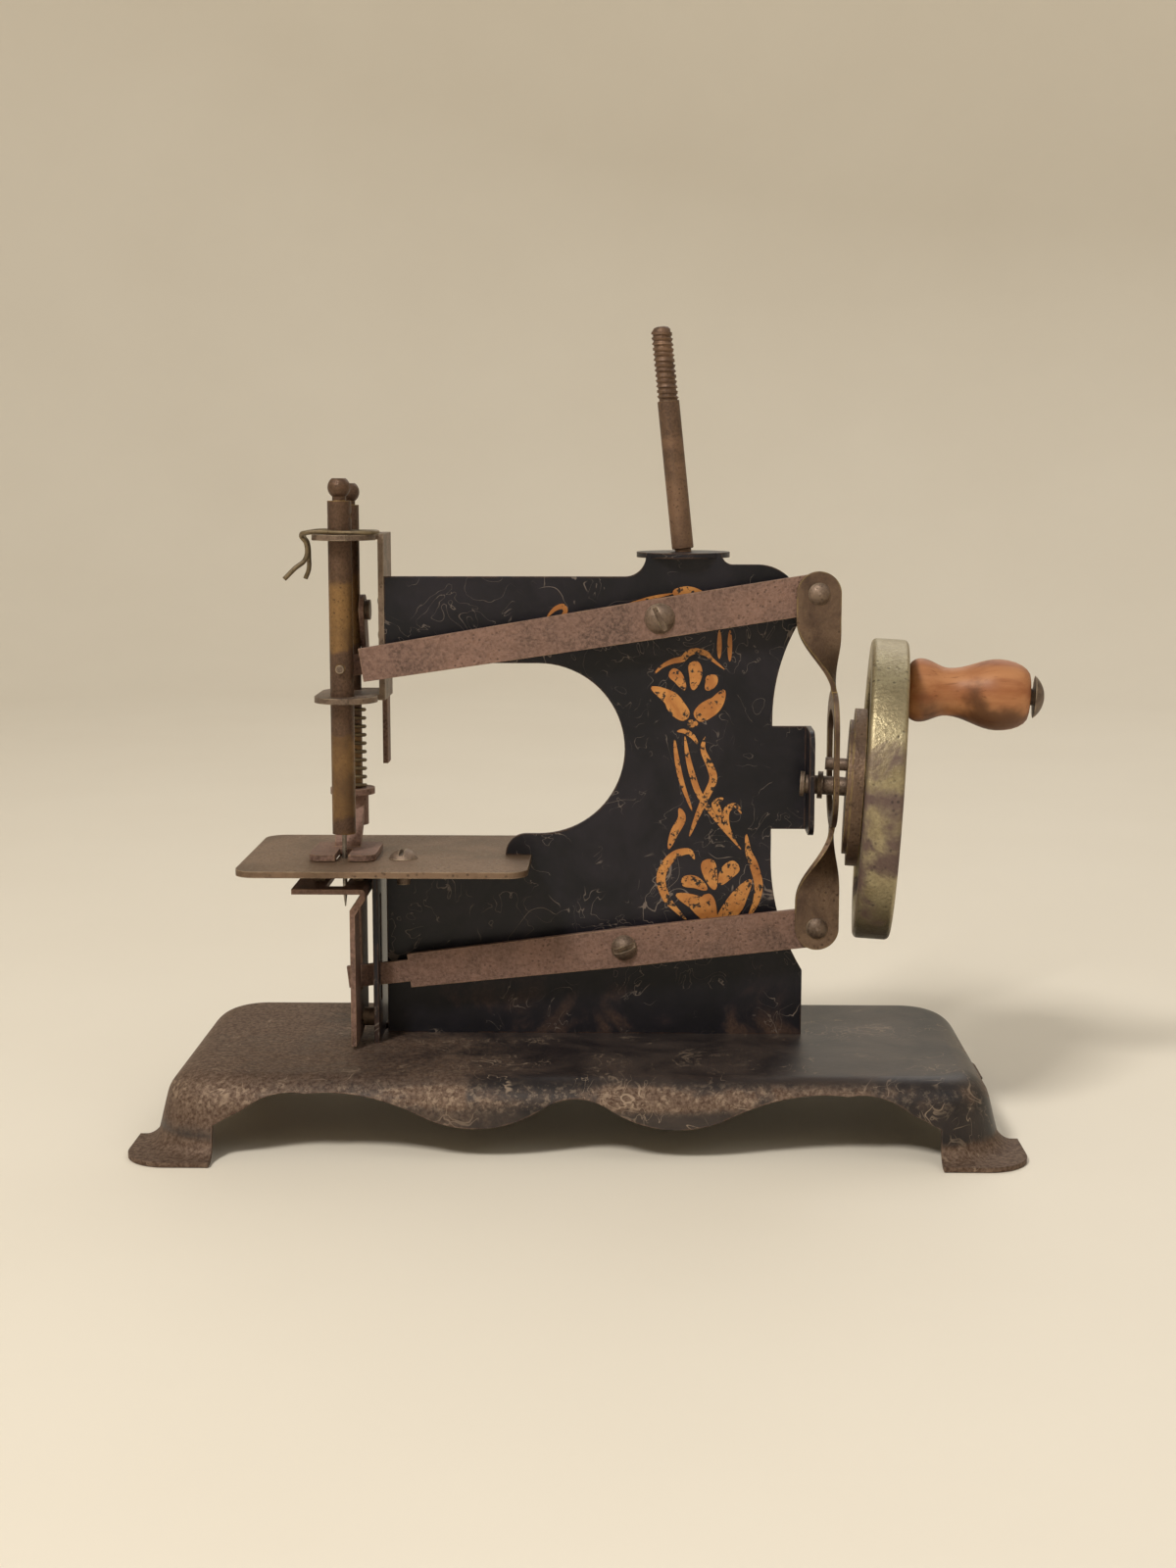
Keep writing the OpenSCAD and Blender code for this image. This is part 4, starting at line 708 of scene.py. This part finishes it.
def buildThreadGuide():
    spec = threadGuide
    points = [(x, y, spec["rise"] if z is None else z) for x, y, z in spec["points"]]
    wire = bentWire("threadGuideWire", points, spec["radius"])
    low, high = meshBox(wire)
    solidLow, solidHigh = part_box("thread_guide")
    wire.transform(Matrix.Translation((solidLow + solidHigh - low - high) / 2))
    smoothFaces(wire)
    newPiece("threadGuideWire", wire, "wireSteel", "frame", ["thread_guide"])


buildThreadGuide()
print("thread guide bent")


# twisted strap: flat round ends that face the viewer, and a long eye across them for the crank pin

strapForm = {"thick": 1 * mm, "endRadius": 4.2 * mm, "endTail": 5 * mm, "neckWidth": 3.4 * mm,
             "lowReach": 37.3 * mm, "lowTilt": math.radians(6.5), "eyeFromFlange": 4.3 * mm,
             "eyeHalf": 6.3 * mm, "eyeRim": 2 * mm, "eyeTopRim": 3.4 * mm, "travel": 8.2 * mm,
             "sink": 1.2 * mm, "tipWidth": 0.2 * mm, "steps": 40, "eyeSteps": 24, "sharp": math.radians(40)}


def strapLoft(shape, end, up, eyeX, eyeEdge):
    spec = strapForm
    radius = spec["endRadius"]
    neckEnd = end.z - up * spec["endTail"]
    start = eyeEdge - up * spec["sink"]
    rows = []
    for i in range(spec["steps"] + 1):
        s = i / spec["steps"]
        ease = s * s * (3 - 2 * s)
        rows.append((start + (neckEnd - start) * s, eyeX + (end.x - eyeX) * ease,
                     spec["neckWidth"] + (2 * radius - spec["neckWidth"]) * ease, math.pi / 2 * (1 - ease)))
    for i in range(spec["eyeSteps"] + 1):
        a = math.pi / 2 * i / spec["eyeSteps"]
        width = max(2 * radius * math.cos(a), spec["tipWidth"])
        rows.append((end.z + up * radius * math.sin(a), end.x, width, 0.0))
    half = spec["thick"] / 2
    corners = ((-1, -1), (1, -1), (1, 1), (-1, 1))
    rings = []
    for z, x, width, turn in rows:
        along = Vector((math.cos(turn), math.sin(turn), 0)) * width / 2
        out = Vector((-math.sin(turn), math.cos(turn), 0)) * half
        middle = Vector((x, end.y, z))
        rings.append([shape.verts.new(middle + a * along + b * out) for a, b in corners])
    for here, there in zip(rings, rings[1:]):
        for k in range(4):
            shape.faces.new((here[k - 1], here[k], there[k], there[k - 1]))
    shape.faces.new(rings[0])
    shape.faces.new(rings[-1])


def strapEye(shape, shaft, eyeX):
    spec = strapForm

    def loop(radius, rise, x):
        steps = spec["eyeSteps"]
        angles = [math.pi * i / steps for i in range(steps + 1)]
        spots = [(radius * math.cos(a), rise + radius * math.sin(a)) for a in angles]
        spots += [(-radius * math.cos(a), -radius * math.sin(a)) for a in angles]
        return [shape.verts.new((x, shaft.y + y, shaft.z + z)) for y, z in spots]

    half, outer = spec["thick"] / 2, spec["eyeHalf"] + spec["eyeRim"]
    rise = spec["travel"] + spec["eyeTopRim"] - spec["eyeRim"]
    loops = [loop(outer, rise, eyeX - half), loop(outer, rise, eyeX + half),
             loop(spec["eyeHalf"], spec["travel"], eyeX + half),
             loop(spec["eyeHalf"], spec["travel"], eyeX - half)]
    for here, there in zip(loops, loops[1:] + loops[:1]):
        for k in range(len(here)):
            shape.faces.new((here[k - 1], here[k], there[k], there[k - 1]))


def buildStrap():
    spec = strapForm
    upper, shaft = Vector(joints["strap_hang"]["pos_m"]), Vector(joints["wheel_spin"]["pos_m"])
    pivot = Vector(joints["lower_rock"]["pos_m"])
    lower = Vector((pivot.x + spec["lowReach"] * math.cos(spec["lowTilt"]), upper.y,
                    pivot.z + spec["lowReach"] * math.sin(spec["lowTilt"])))
    eyeX = shaft.x + spec["eyeFromFlange"]
    eyeHigh = shaft.z + spec["travel"] + spec["eyeHalf"] + spec["eyeTopRim"]
    shape = bmesh.new()
    strapLoft(shape, upper, 1, eyeX, eyeHigh)
    strapLoft(shape, lower, -1, eyeX, shaft.z - spec["eyeHalf"] - spec["eyeRim"])
    strapEye(shape, shaft, eyeX)
    bmesh.ops.recalc_face_normals(shape, faces=shape.faces)
    made = bpy.data.meshes.new("twistedStrap")
    shape.to_mesh(made)
    shape.free()
    sharpen(made, spec["sharp"])
    newPiece("twistedStrap", made, "strapBrass", "strap", ["drive_strap"])


buildStrap()
print("strap twisted")


# floral scroll printed on the plate: strokes in millimetres right of and above the upper pivot

scrollPrint = {
    "proud": 0.04 * mm, "layer": 0.001 * mm, "sunk": 0.03 * mm, "steps": 8, "leastShare": 0.12,
    "stems": [
        (1.2, [(-1, -11), (0.5, -9.5), (2.5, -8.5), (4.5, -8), (5.5, -7), (7, -6.5), (9, -7), (10, -8),
               (12.5, -10)]),
        (0.9, [(11.5, -2.5), (11.5, -5.5), (11.5, -8)]),
        (0.9, [(13.5, -2.5), (13.5, -5.5), (13.5, -8.5)]),
        (1.0, [(3.5, -22), (5, -22), (6.5, -23), (7.5, -24.5)]),
        (1.2, [(5, -23), (5.5, -26.5), (6.5, -30.5), (8, -34.5), (11.5, -39.5), (16, -45)]),
        (1.0, [(3, -23.5), (3.5, -27.5), (4.5, -32), (6.5, -37.5)]),
        (1.5, [(9, -23), (8.5, -25.5), (10, -29), (10.5, -31.5), (9, -35), (7.5, -38.5), (6, -42.5)]),
        (1.5, [(12.5, -35), (11, -36), (11.5, -37.5), (12, -39.5)]),
        (1.3, [(16, -38), (15, -36.5), (13.5, -37), (13, -38.5), (13.5, -41), (15, -43.5)]),
        (1.7, [(4, -37), (4.5, -39), (3, -42), (2, -45)]),
        (1.8, [(7, -47), (6, -45.5), (3.5, -46), (1.5, -48), (0.5, -51), (1.5, -54.5), (3, -56.5),
               (5.5, -59)]),
        (1.7, [(17, -42), (17.5, -45.5), (18.5, -48), (19.5, -52), (19, -55.5), (17.5, -58.5)]),
        (1.0, [(-21.5, 0), (-20, 1.5), (-18.5, 2), (-18, 1), (-19, 0)]),
        (0.9, [(-18, 0), (-13.5, 0), (-8, 1.5), (-2, 3.5), (2.5, 4.5)])],
    "petals": [
        (2.3, [(2, -10.5), (3.5, -11.5), (5, -14)]),
        (2.6, [(6.5, -8.5), (7, -11), (6.5, -14)]),
        (2.4, [(10, -11), (10, -12.5), (9, -14)]),
        (3.4, [(5.5, -19.5), (3.5, -17.5), (2, -15.5), (-1.5, -13.5)]),
        (3.4, [(7, -19.5), (9, -18), (11, -16.5), (12.5, -14)]),
        (1.5, [(5.5, -20.5), (6.5, -20.5), (7.5, -20.5)]),
        (3.0, [(9.5, -47), (10, -49.5), (11, -53)]),
        (3.0, [(15.5, -48), (13.5, -49.5), (12, -52)]),
        (2.5, [(4.5, -51.5), (7, -51.5), (9.5, -53)]),
        (3.6, [(11, -59.5), (9, -57), (7, -55.5), (3.5, -54)]),
        (2.6, [(9, -54), (10, -56), (11, -59)]),
        (3.6, [(12, -59.5), (14.5, -56.5), (16, -54), (18, -51)]),
        (1.8, [(2.5, 4.5), (5.5, 5), (8.5, 4.5)])]}


def easyRoute(points, steps):
    knots = [Vector(p) for p in [points[0]] + points + [points[-1]]]
    route = []
    for a, b, c, d in zip(knots, knots[1:], knots[2:], knots[3:]):
        for i in range(steps):
            t = i / steps
            route.append((2 * b + (c - a) * t + (2 * a - 5 * b + 4 * c - d) * t * t
                          + (3 * b - a - 3 * c + d) * t ** 3) / 2)
    return route + [knots[-1]]


def addStroke(shape, points, width, swell, origin, proud):
    spec = scrollPrint
    route = easyRoute(points, spec["steps"])
    last = len(route) - 1
    rings = []
    for i, spot in enumerate(route):
        along = (route[min(i + 1, last)] - route[max(i - 1, 0)]).normalized()
        share = max(math.sin(math.pi * (i / last) ** swell) ** 0.6 if 0 < i < last else 0, spec["leastShare"])
        side = Vector((-along.y, along.x)) * width * share / 2
        corners = ((spot + side, -proud), (spot - side, -proud),
                   (spot - side, spec["sunk"]), (spot + side, spec["sunk"]))
        rings.append([shape.verts.new(origin + Vector((p.x * mm, y, p.y * mm))) for p, y in corners])
    for here, there in zip(rings, rings[1:]):
        for k in range(4):
            shape.faces.new((here[k], here[k - 1], there[k - 1], there[k]))
    shape.faces.new(rings[0])
    shape.faces.new(rings[-1][::-1])


def buildScroll():
    pivot = joints["lever_rock"]["pos_m"]
    origin = Vector((pivot[0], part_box("pivot_spacers")[1].y, pivot[2]))
    shape = bmesh.new()
    proud = scrollPrint["proud"]
    for kind, swell in (("stems", 1.0), ("petals", 0.72)):
        for width, points in scrollPrint[kind]:
            addStroke(shape, points, width, swell, origin, proud)
            proud += scrollPrint["layer"]
    bmesh.ops.recalc_face_normals(shape, faces=shape.faces)
    made = bpy.data.meshes.new("plateScroll")
    shape.to_mesh(made)
    shape.free()
    newPiece("plateScroll", made, "ornamentPaint", "frame")
    print("scroll printed at", [round(c / mm, 2) for c in origin])


buildScroll()


# camera at the photograph's angle

cameraView = {"fromPivot": (-5.2, -414.9, 27.8), "lens": 50.18, "sensor": 36.0, "pitch": 8.17, "yaw": 1.16}
cameraData = bpy.data.cameras.new("photoCamera")
cameraData.lens = cameraView["lens"]
cameraData.sensor_width = cameraView["sensor"]
cameraData.clip_start, cameraData.clip_end = 0.01, 50
camera = bpy.data.objects.new("photoCamera", cameraData)
bpy.context.scene.collection.objects.link(camera)
pitch, yaw = math.radians(cameraView["pitch"]), math.radians(cameraView["yaw"])
aim = Vector((-math.sin(yaw) * math.cos(pitch), math.cos(yaw) * math.cos(pitch), -math.sin(pitch)))
camera.location = Vector(joints["lever_rock"]["pos_m"]) + Vector(cameraView["fromPivot"]) * mm
camera.rotation_euler = aim.to_track_quat("-Z", "Y").to_euler()
bpy.context.scene.camera = camera


# pale floor and soft studio light

studio = {"pale": "e9e2d4", "shade": "e2dacb", "radius": 1.3, "sweep": 0.5, "height": 1.5, "sides": 96,
          "worldLight": 0.34, "aimHeight": 0.06,
          "key": {"place": (-0.42, -0.62, 0.85), "size": 0.2, "power": 8.4, "tint": (1.0, 0.96, 0.9)},
          "fill": {"place": (0.62, -0.46, 0.95), "size": 0.8, "power": 1.8, "tint": (0.97, 0.98, 1.0)},
          "rim": {"place": (0.25, 0.75, 0.8), "size": 0.7, "power": 2.2, "tint": (1.0, 1.0, 1.0)}}


def buildStudio():
    spec = studio
    bend = [math.radians(a) for a in range(0, 91, 6)]
    flat = spec["radius"] - spec["sweep"]
    curve = [(flat + spec["sweep"] * math.sin(a), spec["sweep"] * (1 - math.cos(a))) for a in bend]
    profile = [(0, 0)] + curve + [(spec["radius"], spec["height"])]
    mesh = turnedMesh("studioCove", profile, spec["sides"])
    mesh.flip_normals()
    smoothFaces(mesh)
    cove = bpy.data.objects.new("studioCove", mesh)
    cove.location.z = cadLow.z - 0.0001
    bpy.context.scene.collection.objects.link(cove)
    made, tree, shader, place = startMaterial("covePaint")
    cloud = addNode(tree, "ShaderNodeTexNoise", Vector=place, Scale=9.0, Detail=4.0).outputs["Fac"]
    feed(tree, shader.inputs["Base Color"], blendColour(tree, cloud, tint(spec["shade"]), tint(spec["pale"])))
    shader.inputs["Roughness"].default_value = 0.6
    mesh.materials.append(made)
    for name in ("key", "fill", "rim"):
        lampSpec = spec[name]
        data = bpy.data.lights.new(name + "Light", "AREA")
        data.size, data.energy, data.color = lampSpec["size"], lampSpec["power"], lampSpec["tint"]
        lamp = bpy.data.objects.new(name + "Light", data)
        lamp.location = lampSpec["place"]
        aim = Vector((0, 0, spec["aimHeight"])) - lamp.location
        lamp.rotation_euler = aim.to_track_quat("-Z", "Y").to_euler()
        lamp.visible_camera = False
        bpy.context.scene.collection.objects.link(lamp)
    world = bpy.data.worlds.new("studioWorld")
    world.use_nodes = True
    bpy.context.scene.world = world
    back = world.node_tree.nodes["Background"]
    back.inputs["Color"].default_value = tint(spec["pale"])
    back.inputs["Strength"].default_value = spec["worldLight"]


buildStudio()
bpy.context.scene.view_settings.view_transform = "Standard"
print("studio and camera set")
